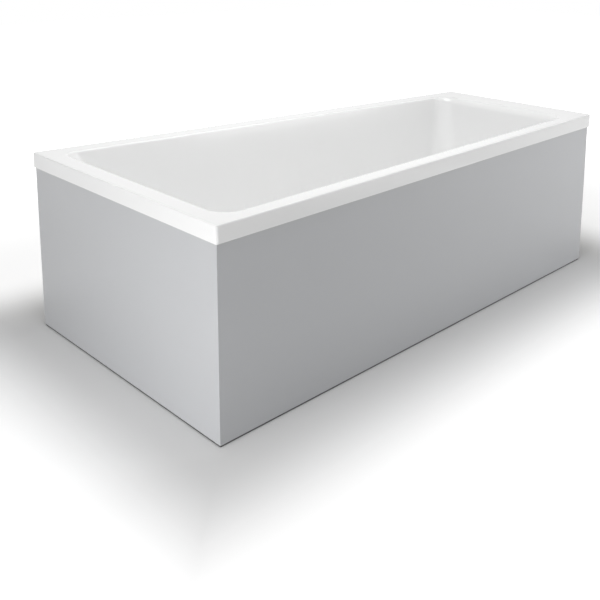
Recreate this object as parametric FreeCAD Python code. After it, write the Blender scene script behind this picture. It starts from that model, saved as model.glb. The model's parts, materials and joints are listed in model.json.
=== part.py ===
"""Alcove bathtub: a trapezium acrylic bath for a corner, with a front and an end panel.

Units are millimetres. X runs along the back wall from the head end (-X) to the narrow
drain end (+X), Y runs from the room (-Y) to the back wall (+Y), and Z is up. The origin
is on the floor, under the middle of the bath's outline.
"""
import FreeCAD, Part
import math
import os

from FreeCAD import Vector

os.makedirs("parts", exist_ok=True)

# ---------------------------------------------------------------- driving dimensions
# Outline of the rim, seen from above
LENGTH = 1600.0
HEAD_WIDTH = 850.0
DRAIN_WIDTH = 590.0
LIP_HEIGHT = 40.0
SHELL = 5.0
OUTER_CORNER_R = 7.0
LIP_INNER_CORNER_R = 1.0
RIM_EDGE_R = 4.0
LIP_FOOT_R = 1.5

# Basin: deck width to the theoretical edge, and wall slope from the vertical, by side
DECK = {"front": 45.0, "drain": 108.0, "back": 63.0, "head": 52.0}
SLOPE_DEG = {"front": 10.0, "drain": 6.5, "back": 8.0, "head": 26.0}
BASIN_DEPTH = 385.0
UNDERSIDE_HEIGHT = 90.0
BASIN_EDGE_R = 7.0
DRAIN_ROLL_R = 25.0
BASIN_TOP_CORNER_R = 45.0
BASIN_FLOOR_CORNER_R = 90.0
BASIN_FLOOR_R = 75.0
LEAST_FILLET_R = 1.0

# Panels, their base seals and fixings
PANEL = 16.0
PANEL_LIP_GAP = 0.5
PANEL_TUCK = 22.0
SEAL_HEIGHT = 4.0
SEAL_WIDTH = 12.0
CLIP = 0.9
CLIP_GAP = 0.4
CLIP_LENGTH = 40.0
CLIP_DROP = 18.0
FRONT_CLIPS = 4
END_CLIPS = 2
BRACKET = 2.0
BRACKET_LEG = 40.0
BRACKET_HEIGHT = 40.0
BRACKET_FLOOR_GAP = 60.0
BRACKET_LIP_GAP = 40.0
ANGLE = 2.0
ANGLE_WALL_LEG = 25.0
ANGLE_PANEL_LEG = 30.0
ANGLE_FLOOR_GAP = 20.0
ANGLE_LIP_GAP = 20.0
ANGLE_HOLE_R = 2.75
ANGLE_HOLE_INSET = 70.0

# Rim battens
BATTEN_WIDTH = 14.0
BATTEN_HEIGHT = 25.0
WALL_BATTEN_GAP = 5.0
BATTEN_END_GAP = 1.0

# Base board, rails and legs
BOARD = 15.0
BOARD_INSET = 75.0
BOARD_CORNER_R = 60.0
BOARD_WASTE_GAP = 6.0
RAIL_WIDTH = 30.0
RAIL_HEIGHT = 28.0
RAIL_STEEL = 2.0
RAIL_END = 22.0
HEAD_RAIL_INSET = 370.0
DRAIN_RAIL_INSET = 470.0
LEG_PANEL_GAP = 45.0
LEG_WALL_GAP = 95.0
STUD_R = 5.0
STUD_ABOVE_RAIL = 43.0
STUD_SEAT = 6.0
STUD_HEX_AF = 15.0
STUD_HEX_HEIGHT = 8.0
STUD_TIP_SHARE = 0.2
PAD_R = 26.0
PAD_TOP_R = 13.0
PAD_EDGE = 6.0
PAD_BEVEL = 1.0
PAD_HEIGHT = 20.0
NUT_AF = 17.0
NUT_HEIGHT = 8.0
THREAD_CLEARANCE = 0.05
STUD_HOLE_CLEARANCE = 0.5

# Wood and panel screws: head radius, head height, shank radius, length
BOARD_SCREW = (4.2, 2.6, 2.2, 13.0)
PANEL_SCREW = (3.6, 2.2, 1.8, 12.0)
SCREW_SLOT = 0.8

# Shares of a screw head: its flat top's radius, its edge's height, its slot's length, depth
HEAD_TOP_SHARE = 0.6
HEAD_EDGE_SHARE = 0.45
SLOT_LENGTH_SHARE = 1.1
SLOT_DEPTH_SHARE = 0.5

# Where screws stand along the piece that they hold, as shares of its length
BRACKET_SCREWS_UP = (0.25, 0.75)
BRACKET_SCREWS_OUT = 0.65
ANGLE_SCREWS_UP = (0.1, 0.5, 0.9)
ANGLE_SCREWS_OUT = 0.6
RAIL_SCREWS_ALONG = (0.08, 0.36, 0.64, 0.92)

# Wall anchors under the lip
ANCHOR = 2.0
ANCHOR_WIDTH = 60.0
ANCHOR_DROP = 62.0
ANCHOR_HOOK = 18.0
ANCHOR_LIP_GAP = 0.3
ANCHOR_HOLE_R = 3.25
ANCHOR_HOLE_SPACING = 34.0
ANCHOR_HOLE_DROP = 34.0
BACK_ANCHOR_INSET = 400.0
END_ANCHOR_FROM_WALL = 245.0

# Waste, in the floor of the basin
WASTE_FROM_HEAD = 812.0
WASTE_FROM_WALL = 362.0
WASTE_HOLE_R = 26.0
WASTE_RECESS_R = 36.0
WASTE_RECESS = 2.0
WASTE_SEAL = 1.5
SEAL_INSET = 1.0
FLANGE_R = 35.0
FLANGE_EDGE = 2.2
FLANGE_BEVEL = 2.0
FLANGE_DISH = 5.0
FLANGE_TUBE_R = 24.0
FLANGE_BORE_R = 20.0
FLANGE_TUBE_LENGTH = 26.0
GUIDE_R = 6.0
GUIDE_HEIGHT = 12.0
SPOKE_WIDTH = 3.0
LOWER_SEAL = 3.0
CUP_R = 33.0
CUP_WALL = 3.0
CUP_FLANGE_R = 42.0
CUP_FLANGE = 4.0
CUP_DEPTH = 65.0
PLUG_R = 31.0
PLUG_EDGE = 3.0
PLUG_CROWN = 3.0
PLUG_BEVEL = 1.0
PLUG_GAP = 0.3
STEM_R = 3.0
STEM_CLEARANCE = 0.05
STEM_TIP_R = 1.0
STEM_TIP = 5.0
PLUG_SEAL_GAP = 0.3
PLUG_SEAL = 3.0
PLUG_SEAL_SHARE = 0.7
PLUG_SEAL_LIP = 2.0
PLUG_LIFT = 9.0

# Lift lever in the waste body
LEVER_SWING_DEG = 28.0
LEVER_PIN_R = 2.0
LEVER_WIDTH = 6.0
LEVER_HUB_R = 4.0
LEVER_TIP_R = 2.5
LEVER_CABLE_ARM = 10.0
LEVER_STEM_GAP = 0.8

# Pipes
OVERFLOW_PIPE_R = 16.0
PIPE_WALL = 2.0
PIPE_BEND_R = 48.0
PIPE_DROP = 36.0
PIPE_INSERT = 12.0
NUT_RING = 2.2
RING_NUT_LENGTH = 20.0
NUT_GROOVES = 12
NUT_GROOVE_SHARE = 0.75
TRAP_PIPE_R = 20.0
TRAP_R = 46.0
TRAP_WALL = 3.0
TRAP_HEIGHT = 54.0
TRAP_BOARD_GAP = 9.0
TRAP_PIPE_DROP = 46.0
TRAP_NECK = 20.0
TRAP_BAFFLE_GAP = 16.0
TRAP_CAP_R = 30.0
TRAP_CAP = 6.0
TRAP_CAP_EDGE = 3.0
TRAP_GRIP_WIDTH = 6.0
TRAP_GRIP_SHARE = 0.7
SPIGOT_WALL = 1.5
SPIGOT_LENGTH = 26.0
SPIGOT_RISE = 22.0
OUTLET_WALL_GAP = 20.0
OUTLET_PLUG_R = 19.0
OUTLET_COLLAR_PROUD = 2.0

# Overflow, in the front wall of the basin
OVERFLOW_DROP = 88.0
OVERFLOW_HOLE_R = 27.0
OVERFLOW_SEAL = 3.0
OVERFLOW_FLANGE_R = 37.0
OVERFLOW_FLANGE = 3.0
OVERFLOW_CUP_R = 33.0
OVERFLOW_CUP_WALL = 2.5
OVERFLOW_CUP_DEPTH = 22.0
OVERFLOW_PIPE_SET = 17.7
PLATE_R = 38.0
PLATE_RIM = 11.0
PLATE = 2.5
PLATE_HUB_R = 8.0
PLATE_SPOKE = 8.0
PLATE_SCREW_AT = 20.0
PLATE_SCREW = (3.5, 1.6, 2.0, 14.0)
SPINDLE_R = 4.0
SPINDLE_CLEARANCE = 0.05
KNOB_R = 35.0
KNOB_GAP = 7.0
KNOB = 7.0
KNOB_EDGE = 1.5
KNOB_GRIP = (52.0, 7.0, 3.0)
CRANK = 3.0
CRANK_ARM = 17.0
CRANK_END_R = 4.0
CRANK_GAP = 0.8
CRANK_HEIGHT = 6.0
CRANK_REST_DEG = -135.0
BOSS_R = 7.0

# Bowden cable, beside the overflow pipe
SHEATH_R = 3.0
SHEATH_SIDE = 25.0
SHEATH_BEND_R = 60.0
SHEATH_DROP = 30.0
SHEATH_INSERT = 9.0
SOCKET_R = 5.0
SOCKET_LENGTH = 14.0

# ---------------------------------------------------------------- plan of the bath
SKEW = math.atan2(HEAD_WIDTH - DRAIN_WIDTH, LENGTH)
ALONG_FRONT = Vector(math.cos(SKEW), math.sin(SKEW), 0)
FRONT_IN = Vector(-math.sin(SKEW), math.cos(SKEW), 0)
HALF_LENGTH = LENGTH / 2

# The rounding of the near corner trims the width a little: the origin is in the middle
# of what is left
CORNER_TRIM = OUTER_CORNER_R * (1 / math.cos(SKEW) + math.tan(SKEW) - 1)
NEAR_Y = -(HEAD_WIDTH + CORNER_TRIM) / 2
BACK_Y = (HEAD_WIDTH - CORNER_TRIM) / 2

# Each side's line: a point on it, its direction, and the way in to the bath
SIDES = {
    "front": (Vector(-HALF_LENGTH, NEAR_Y, 0), ALONG_FRONT, FRONT_IN),
    "drain": (Vector(HALF_LENGTH, 0, 0), Vector(0, 1, 0), Vector(-1, 0, 0)),
    "back": (Vector(0, BACK_Y, 0), Vector(-1, 0, 0), Vector(0, -1, 0)),
    "head": (Vector(-HALF_LENGTH, 0, 0), Vector(0, -1, 0), Vector(1, 0, 0)),
}
AROUND = ("front", "drain", "back", "head")
UP = Vector(0, 0, 1)

FLOOR_Z = UNDERSIDE_HEIGHT + SHELL
RIM_HEIGHT = FLOOR_Z + BASIN_DEPTH
LIP_FOOT_Z = RIM_HEIGHT - LIP_HEIGHT
DECK_UNDER_Z = RIM_HEIGHT - SHELL
PANEL_FACE = SHELL + PANEL_LIP_GAP
PANEL_BACK = PANEL_FACE + PANEL
PANEL_TOP_Z = LIP_FOOT_Z + PANEL_TUCK
BATTEN_FACE = PANEL_BACK + CLIP_GAP + CLIP
WALL_BATTEN_FACE = SHELL + WALL_BATTEN_GAP
BOARD_UNDER_Z = UNDERSIDE_HEIGHT - BOARD
RAIL_WEB_Z = BOARD_UNDER_Z - RAIL_STEEL
HEAD_RAIL_X = HEAD_RAIL_INSET - HALF_LENGTH
DRAIN_RAIL_X = HALF_LENGTH - DRAIN_RAIL_INSET


def corner(side_a, inset_a, side_b, inset_b):
    """Where two sides meet in plan, once each is moved in by its inset."""
    point_a, way_a, in_a = SIDES[side_a]
    point_b, way_b, in_b = SIDES[side_b]
    start_a = point_a + in_a * inset_a
    start_b = point_b + in_b * inset_b
    turn = way_a.x * way_b.y - way_a.y * way_b.x
    gap = start_b - start_a
    along = (gap.x * way_b.y - gap.y * way_b.x) / turn
    return start_a + way_a * along


def front_point(x, inset):
    """The point at x on the front side's line, moved in by inset."""
    start = SIDES["front"][0] + FRONT_IN * inset
    return start + ALONG_FRONT * ((x - start.x) / ALONG_FRONT.x)


# ---------------------------------------------------------------- waste and overflow places
WASTE = Vector(WASTE_FROM_HEAD - HALF_LENGTH, BACK_Y - WASTE_FROM_WALL, 0)
CUP_TOP_Z = UNDERSIDE_HEIGHT - LOWER_SEAL
CUP_BOTTOM_Z = CUP_TOP_Z - CUP_DEPTH
FLANGE_SEAT_Z = FLOOR_Z - WASTE_RECESS + WASTE_SEAL
FLANGE_FOOT_Z = FLANGE_SEAT_Z - FLANGE_TUBE_LENGTH
INLET_R = OVERFLOW_PIPE_R + SPIGOT_WALL
OUTLET_R = TRAP_PIPE_R + SPIGOT_WALL
PIPE_Z = UNDERSIDE_HEIGHT - PIPE_DROP
TRAP_PIPE_Z = UNDERSIDE_HEIGHT - TRAP_PIPE_DROP
TRAP_TOP_Z = BOARD_UNDER_Z - TRAP_BOARD_GAP

# The overflow is in the front wall, in line with the waste
FRONT_SLOPE = math.radians(SLOPE_DEG["front"])
OVERFLOW_Z = RIM_HEIGHT - OVERFLOW_DROP
OVERFLOW_INSET = DECK["front"] + OVERFLOW_DROP * math.tan(FRONT_SLOPE)
OVERFLOW = front_point(WASTE.x, OVERFLOW_INSET) + UP * OVERFLOW_Z
OVERFLOW_AXIS = FRONT_IN * math.cos(FRONT_SLOPE) + UP * math.sin(FRONT_SLOPE)
HOUSING_FACE = -SHELL - OVERFLOW_SEAL
HOUSING_BACK = HOUSING_FACE - OVERFLOW_CUP_DEPTH
CRANK_LOW = HOUSING_BACK + OVERFLOW_CUP_WALL + CRANK_HEIGHT
SPINDLE_END = HOUSING_BACK + OVERFLOW_CUP_WALL + CRANK_GAP

# The overflow pipe goes straight down behind the wall, then level to the waste
PIPE_PLAN = front_point(WASTE.x, OVERFLOW_INSET - OVERFLOW_PIPE_SET)
SPIGOT_FOOT = PIPE_PLAN + UP * (OVERFLOW_Z - OVERFLOW_CUP_R - SPIGOT_LENGTH)
TO_OVERFLOW = (PIPE_PLAN - WASTE).normalize()
INLET_END = WASTE + UP * PIPE_Z + TO_OVERFLOW * (CUP_R + SPIGOT_LENGTH - PIPE_INSERT)

# The cable runs beside it, in a plane of its own
SHEATH_PLAN = PIPE_PLAN + ALONG_FRONT * SHEATH_SIDE
SHEATH_START = SHEATH_PLAN + UP * (OVERFLOW_Z - OVERFLOW_CUP_R - SOCKET_LENGTH / 2)
SHEATH_WASTE = WASTE - TO_OVERFLOW.cross(UP) * SHEATH_SIDE
TO_SHEATH = (SHEATH_PLAN - SHEATH_WASTE).normalize()
SHEATH_Z = UNDERSIDE_HEIGHT - SHEATH_DROP
SHEATH_END = SHEATH_WASTE + UP * SHEATH_Z + TO_SHEATH * (CUP_R - CUP_WALL)

# The lever's pin is on the cable's side of the stem, so a pull on the upper arm lifts
HALF_SWING = math.radians(LEVER_SWING_DEG / 2)
LEVER_ARM = PLUG_LIFT / 2 / math.sin(HALF_SWING)
LEVER_AXIS = UP.cross(TO_OVERFLOW)
LEVER_Z = CUP_BOTTOM_Z + CUP_WALL + PLUG_LIFT / 2 + LEVER_TIP_R + LEVER_HUB_R
LEVER_PIVOT = WASTE + UP * LEVER_Z + TO_OVERFLOW * (LEVER_ARM * math.cos(HALF_SWING))
LEVER_TIP = WASTE + UP * (LEVER_Z - PLUG_LIFT / 2)

# The trap stands between the waste and the back wall
TO_TRAP = Vector(0, 1, 0)
TRAP = WASTE + TO_TRAP * (CUP_R + SPIGOT_LENGTH + TRAP_NECK + TRAP_R)
OUTLET_END = WASTE + UP * TRAP_PIPE_Z + TO_TRAP * (CUP_R + SPIGOT_LENGTH - PIPE_INSERT)
TRAP_MOUTH = TRAP + UP * TRAP_PIPE_Z + TO_TRAP * (TRAP_R + SPIGOT_LENGTH)


# ---------------------------------------------------------------- shapes
def rounded_wire(points, radii, z):
    """A closed wire through the points, each corner rounded by its radius."""
    count = len(points)
    tangents = []
    for i, point in enumerate(points):
        back = (points[i - 1] - point).normalize()
        ahead = (points[(i + 1) % count] - point).normalize()
        half = back.getAngle(ahead) / 2
        reach = radii[i] / math.tan(half)
        middle = (back + ahead).normalize() * (radii[i] / math.sin(half) - radii[i])
        lift = Vector(0, 0, z)
        tangents.append((point + back * reach + lift, point + middle + lift,
                         point + ahead * reach + lift))
    edges = []
    for i, (start, middle, end) in enumerate(tangents):
        edges.append(Part.Arc(start, middle, end).toShape())
        edges.append(Part.LineSegment(end, tangents[(i + 1) % count][0]).toShape())
    return Part.Wire(edges)


def outline_wire(insets, radius, z):
    """The bath's trapezium with each side moved in by its inset."""
    points = []
    for i, side in enumerate(AROUND):
        before = AROUND[i - 1]
        points.append(corner(before, insets[before], side, insets[side]))
    return rounded_wire(points, [radius] * len(points), z)


def prism(wire, height):
    return Part.Face(wire).extrude(Vector(0, 0, height))


def plan_prism(points, z_low, z_high):
    """A straight block over a plan polygon."""
    lifted = [point + Vector(0, 0, z_low) for point in points]
    return prism(Part.makePolygon(lifted + lifted[:1]), z_high - z_low)


def box_between(x_pair, y_pair, z_pair):
    size = (x_pair[1] - x_pair[0], y_pair[1] - y_pair[0], z_pair[1] - z_pair[0])
    return Part.makeBox(*size, Vector(x_pair[0], y_pair[0], z_pair[0]))


def rod(radius, base, axis, length):
    return Part.makeCylinder(radius, length, base, axis)


def tube(outer_r, inner_r, base, axis, length):
    return rod(outer_r, base, axis, length).cut(rod(inner_r, base, axis, length))


def ring(outer_r, inner_r, z_low, z_high, centre=Vector()):
    return tube(outer_r, inner_r, centre + UP * z_low, UP, z_high - z_low)


def turned(points):
    """A solid turned about Z from a profile of (radius, z) points."""
    profile = [Vector(radius, 0, z) for radius, z in points]
    face = Part.Face(Part.makePolygon(profile + profile[:1]))
    return face.revolve(Vector(), UP, 360)


def hexagon(across_flats, z_low, z_high, centre=Vector()):
    radius = across_flats / math.sqrt(3)
    points = [centre + Vector(radius * math.cos(math.radians(60 * i)),
                              radius * math.sin(math.radians(60 * i)), 0) for i in range(6)]
    return plan_prism(points, z_low, z_high)


def fused(first, *others):
    return first.multiFuse(list(others)).removeSplitter()


def save(name, *shapes):
    """Write one node, as one solid or as a group of separate solids."""
    solids = [solid for shape in shapes for solid in shape.Solids]
    shape = solids[0] if len(solids) == 1 else Part.makeCompound(solids)
    shape.exportStep("parts/" + name + ".step")
    lowest = shape.BoundBox.ZMin
    print(f"{name}: {len(solids)} solid, {shape.Volume / 1000:.1f} cm3, low {lowest:.2f},"
          f" valid {shape.isValid()}")


def screw(size, seat, axis):
    """A screw whose head stands on the seat and whose shank goes in along the axis."""
    head_r, head_height, shank_r, length = size
    body = turned([(0, -head_height), (head_r * HEAD_TOP_SHARE, -head_height),
                   (head_r, -head_height * HEAD_EDGE_SHARE), (head_r, 0), (shank_r, 0),
                   (shank_r, length - 2 * shank_r), (0, length)])
    slot_length = head_r * SLOT_LENGTH_SHARE
    slot = Part.makeBox(slot_length, SCREW_SLOT, head_height * SLOT_DEPTH_SHARE,
                        Vector(-slot_length / 2, -SCREW_SLOT / 2, -head_height))
    body = body.cut(slot)
    body.Placement = FreeCAD.Placement(seat, FreeCAD.Rotation(UP, axis))
    return body


# ---------------------------------------------------------------- tub shell
def basin_wire(z, grow):
    """The basin's section at z, grown outwards through its walls by grow."""
    depth = RIM_HEIGHT - z
    insets = {}
    for side in AROUND:
        slope = math.radians(SLOPE_DEG[side])
        insets[side] = DECK[side] + depth * math.tan(slope) - grow / math.cos(slope)
    share = depth / BASIN_DEPTH
    radius = BASIN_TOP_CORNER_R + (BASIN_FLOOR_CORNER_R - BASIN_TOP_CORNER_R) * share + grow
    return outline_wire(insets, radius, z)


def edges_at(shape, z, outline_margin):
    """Edges that lie at height z, further in from the outline than the margin."""
    found = []
    for edge in shape.Edges:
        box = edge.BoundBox
        if abs(box.ZMin - z) > 0.01 or abs(box.ZMax - z) > 0.01:
            continue
        insets = []
        for point, _, way_in in SIDES.values():
            insets.append((edge.CenterOfMass - point).dot(way_in))
        if min(insets) > outline_margin:
            found.append(edge)
    return found


def basin_solid(z_low, z_high, grow):
    """A filled basin with its floor edge rounded."""
    walls = Part.makeLoft([basin_wire(z_low, grow), basin_wire(z_high, grow)], True, True)
    return walls.makeFillet(BASIN_FLOOR_R + grow, edges_at(walls, z_low, 0))


def round_rim(shape, z, radius, drain_radius):
    """Round the basin's edge at z: one radius on three sides, swelling at the drain end."""
    rim = edges_at(shape, z, 2 * RIM_EDGE_R)
    drain_x = max(edge.BoundBox.XMax for edge in rim)
    document = FreeCAD.newDocument("rim")
    base = document.addObject("Part::Feature", "base")
    base.Shape = shape
    table = []
    for index, edge in enumerate(shape.Edges, 1):
        if any(edge.isSame(other) for other in rim):
            ends = [drain_radius if vertex.X > drain_x - 0.01 else radius
                    for vertex in (edge.firstVertex(True), edge.lastVertex(True))]
            table.append((index, ends[0], ends[1]))
    feature = document.addObject("Part::Fillet", "fillet")
    feature.Base = base
    feature.Edges = table
    document.recompute()
    rounded = feature.Shape.copy()
    FreeCAD.closeDocument(document.Name)
    return rounded


def tub_blank():
    """The shell before its holes: deck, lip and basin."""
    level = {side: 0.0 for side in AROUND}
    inside = {side: SHELL for side in AROUND}
    block = prism(outline_wire(level, OUTER_CORNER_R, LIP_FOOT_Z), LIP_HEIGHT)
    block = block.makeFillet(RIM_EDGE_R, edges_at(block, RIM_HEIGHT, -1))
    block = block.makeFillet(LIP_FOOT_R, edges_at(block, LIP_FOOT_Z, -1))
    hollow = prism(outline_wire(inside, LIP_INNER_CORNER_R, LIP_FOOT_Z - 1),
                   LIP_HEIGHT - SHELL + 1)
    tray = block.cut(hollow)
    body = tray.fuse(basin_solid(UNDERSIDE_HEIGHT, DECK_UNDER_Z, SHELL)).removeSplitter()
    body = round_rim(body, DECK_UNDER_Z, max(BASIN_EDGE_R - SHELL, LEAST_FILLET_R),
                     max(DRAIN_ROLL_R - SHELL, LEAST_FILLET_R))
    body = body.cut(basin_solid(FLOOR_Z, RIM_HEIGHT + SHELL, 0))
    return round_rim(body, RIM_HEIGHT, BASIN_EDGE_R, DRAIN_ROLL_R)


def tub_shell():
    """The finished shell, with its waste and overflow holes."""
    shell = tub_blank()
    shell = shell.cut(rod(WASTE_HOLE_R, WASTE + UP * (UNDERSIDE_HEIGHT - 1), UP, 2 * SHELL))
    shell = shell.cut(rod(WASTE_RECESS_R, WASTE + UP * (FLOOR_Z - WASTE_RECESS), UP, SHELL))
    hole = rod(OVERFLOW_HOLE_R, Vector(0, 0, -2 * SHELL), UP, 4 * SHELL)
    return shell.cut(at_overflow(hole))


# ---------------------------------------------------------------- board, battens, panels
def strip(side, inset, width, start, end, z_low, z_high):
    """A straight strip along a side; start and end are (side, inset) lines that cut it.

    A third value in start or end is the cutting inset at the strip's inner edge.
    """
    points = [corner(side, inset, start[0], start[1]), corner(side, inset, end[0], end[1]),
              corner(side, inset + width, end[0], end[-1]),
              corner(side, inset + width, start[0], start[-1])]
    return plan_prism(points, z_low, z_high)


def mitred_pair(inset, width, far_inset, z_low, z_high):
    """A front and an end strip that meet in a mitre at the near corner."""
    inner = inset + width
    front = strip("front", inset, width, ("head", inset, inner), ("drain", far_inset),
                  z_low, z_high)
    end = strip("head", inset, width, ("front", inset, inner), ("back", far_inset),
                z_low, z_high)
    return front, end


def base_board():
    floor_insets = {}
    for side in AROUND:
        slope = math.tan(math.radians(SLOPE_DEG[side]))
        floor_insets[side] = DECK[side] + BASIN_DEPTH * slope + BOARD_INSET
    board = prism(outline_wire(floor_insets, BOARD_CORNER_R, BOARD_UNDER_Z), BOARD)
    hole_r = CUP_FLANGE_R + BOARD_WASTE_GAP
    return board.cut(rod(hole_r, WASTE + UP * BOARD_UNDER_Z, UP, BOARD)), floor_insets


def battens():
    """The four rim battens: front and back run through, the other two fit between."""
    low = DECK_UNDER_Z - BATTEN_HEIGHT
    panel_inset = BATTEN_FACE
    wall_inset = WALL_BATTEN_FACE
    front_end = panel_inset + BATTEN_WIDTH + BATTEN_END_GAP
    back_end = wall_inset + BATTEN_WIDTH + BATTEN_END_GAP
    level = (low, DECK_UNDER_Z)
    return {
        "front": strip("front", panel_inset, BATTEN_WIDTH, ("head", panel_inset),
                       ("drain", wall_inset), *level),
        "back": strip("back", wall_inset, BATTEN_WIDTH, ("drain", wall_inset),
                      ("head", panel_inset), *level),
        "head": strip("head", panel_inset, BATTEN_WIDTH, ("back", back_end),
                      ("front", front_end), *level),
        "drain": strip("drain", wall_inset, BATTEN_WIDTH, ("front", front_end),
                       ("back", back_end), *level),
    }


def side_frame(side, along, inset):
    """A plan point on a side's line: a distance from the near corner, then moved in."""
    point, way, way_in = SIDES[side]
    near = corner("front", 0, "head", 0)
    if side == "head":
        way = way * -1
    return near + way * along + way_in * inset, way, way_in


def panel_clips(side, span, count):
    """Spring clips under a batten, behind the panel, and the screws that hold them."""
    low = DECK_UNDER_Z - BATTEN_HEIGHT
    clips = []
    screws = []
    for i in range(count):
        along = span * (i + 0.5) / count
        start, way, way_in = side_frame(side, along - CLIP_LENGTH / 2, BATTEN_FACE - CLIP)
        foot = BATTEN_WIDTH
        profile = [(0, low - CLIP_DROP), (CLIP, low - CLIP_DROP), (CLIP, low - CLIP),
                   (foot, low - CLIP), (foot, low), (CLIP, low), (CLIP, DECK_UNDER_Z - CLIP),
                   (0, DECK_UNDER_Z - CLIP)]
        points = [start + way_in * x + UP * z for x, z in profile]
        clips.append(Part.Face(Part.makePolygon(points + points[:1])).extrude(way * CLIP_LENGTH))
        seat = start + way * (CLIP_LENGTH / 2) + way_in * (BATTEN_WIDTH / 2) + UP * (low - CLIP)
        screws.append(screw(PANEL_SCREW, seat, UP))
    holes = Part.makeCompound(screws)
    return [clip.cut(holes) for clip in clips], screws


def corner_brackets():
    """Bent steel angles inside the near corner, each with four screws into the panels."""
    root = corner("front", PANEL_BACK, "head", PANEL_BACK)
    inner = corner("front", PANEL_BACK + BRACKET, "head", PANEL_BACK + BRACKET)
    up_head = SIDES["head"][1] * -1
    head_in = SIDES["head"][2]
    plan = [root, root + ALONG_FRONT * BRACKET_LEG,
            root + ALONG_FRONT * BRACKET_LEG + FRONT_IN * BRACKET, inner,
            root + up_head * BRACKET_LEG + head_in * BRACKET, root + up_head * BRACKET_LEG]
    brackets = []
    screws = []
    for z in (BRACKET_FLOOR_GAP, LIP_FOOT_Z - BRACKET_LIP_GAP - BRACKET_HEIGHT):
        bracket = plan_prism(plan, z, z + BRACKET_HEIGHT)
        for way, way_in in ((ALONG_FRONT, FRONT_IN), (up_head, head_in)):
            for height in BRACKET_SCREWS_UP:
                seat = root + way * (BRACKET_LEG * BRACKET_SCREWS_OUT) + way_in * BRACKET
                seat = seat + UP * (z + BRACKET_HEIGHT * height)
                screws.append(screw(PANEL_SCREW, seat, way_in * -1))
        brackets.append(bracket)
    holes = Part.makeCompound(screws)
    return [bracket.cut(holes) for bracket in brackets], screws


def wall_angle(side, wall):
    """A steel angle from a panel's back to the wall, with its screws into the panel."""
    way_wall = SIDES[wall][2]
    root = corner(side, PANEL_BACK, wall, 0)
    inner = corner(side, PANEL_BACK + ANGLE, wall, ANGLE)
    along_panel = (corner(side, PANEL_BACK, wall, 1) - root).normalize()
    along_wall = (corner(side, PANEL_BACK + 1, wall, 0) - root).normalize()
    side_in = SIDES[side][2]
    plan = [root, root + along_panel * ANGLE_PANEL_LEG,
            root + along_panel * ANGLE_PANEL_LEG + side_in * ANGLE, inner,
            root + along_wall * ANGLE_WALL_LEG + way_wall * ANGLE,
            root + along_wall * ANGLE_WALL_LEG]
    low = ANGLE_FLOOR_GAP
    high = LIP_FOOT_Z - ANGLE_LIP_GAP
    angle = plan_prism(plan, low, high)
    screws = []
    for share in ANGLE_SCREWS_UP:
        seat = root + along_panel * (ANGLE_PANEL_LEG * ANGLE_SCREWS_OUT) + side_in * ANGLE
        seat = seat + UP * (low + (high - low) * share)
        screws.append(screw(PANEL_SCREW, seat, side_in * -1))
    hole_at = root + along_wall * (ANGLE_WALL_LEG * ANGLE_SCREWS_OUT)
    holes = []
    for z in (low + ANGLE_HOLE_INSET, high - ANGLE_HOLE_INSET):
        holes.append(rod(ANGLE_HOLE_R, hole_at + UP * z - way_wall, way_wall, 3 * ANGLE))
    angle = angle.cut(Part.makeCompound(holes)).cut(Part.makeCompound(screws))
    return angle, screws


def wall_anchor(side, middle):
    """A steel anchor on a wall: its hook comes up inside the lip from below."""
    way = SIDES[side][1]
    way_in = SIDES[side][2]
    tab = LIP_FOOT_Z - ANCHOR_LIP_GAP
    hook = SHELL + PANEL_LIP_GAP
    profile = [(0, tab - ANCHOR_DROP), (ANCHOR, tab - ANCHOR_DROP), (ANCHOR, tab - ANCHOR),
               (hook + ANCHOR, tab - ANCHOR), (hook + ANCHOR, tab - ANCHOR + ANCHOR_HOOK),
               (hook, tab - ANCHOR + ANCHOR_HOOK), (hook, tab), (0, tab)]
    start = middle - way * (ANCHOR_WIDTH / 2)
    points = [start + way_in * x + UP * z for x, z in profile]
    anchor = Part.Face(Part.makePolygon(points + points[:1])).extrude(way * ANCHOR_WIDTH)
    for offset in (-ANCHOR_HOLE_SPACING / 2, ANCHOR_HOLE_SPACING / 2):
        centre = middle + way * offset + UP * (tab - ANCHOR_HOLE_DROP) - way_in
        anchor = anchor.cut(rod(ANCHOR_HOLE_R, centre, way_in, 3 * ANCHOR))
    return anchor


# ---------------------------------------------------------------- rails and legs
def leg_points(rail_x):
    """The plan points of a rail's front and back legs."""
    front_y = front_point(rail_x, PANEL_BACK).y + LEG_PANEL_GAP
    return Vector(rail_x, front_y, 0), Vector(rail_x, BACK_Y - LEG_WALL_GAP, 0)


def rail(rail_x, floor_insets):
    """A steel channel under the board, open below, with its four screws."""
    front, back = leg_points(rail_x)
    x_pair = (rail_x - RAIL_WIDTH / 2, rail_x + RAIL_WIDTH / 2)
    y_pair = (front.y - RAIL_END, back.y + RAIL_END)
    channel = box_between(x_pair, y_pair, (BOARD_UNDER_Z - RAIL_HEIGHT, BOARD_UNDER_Z))
    inner = (x_pair[0] + RAIL_STEEL, x_pair[1] - RAIL_STEEL)
    channel = channel.cut(box_between(inner, y_pair, (BOARD_UNDER_Z - RAIL_HEIGHT, RAIL_WEB_Z)))
    for point in (front, back):
        hole_r = STUD_R + STUD_HOLE_CLEARANCE
        channel = channel.cut(rod(hole_r, point + UP * RAIL_WEB_Z, UP, RAIL_STEEL))
    board_front = front_point(rail_x, floor_insets["front"]).y
    board_back = BACK_Y - floor_insets["back"]
    screws = []
    for share in RAIL_SCREWS_ALONG:
        y = board_front + (board_back - board_front) * share
        screws.append(screw(BOARD_SCREW, Vector(rail_x, y, RAIL_WEB_Z), UP))
    return channel.cut(Part.makeCompound(screws)), screws


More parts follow.
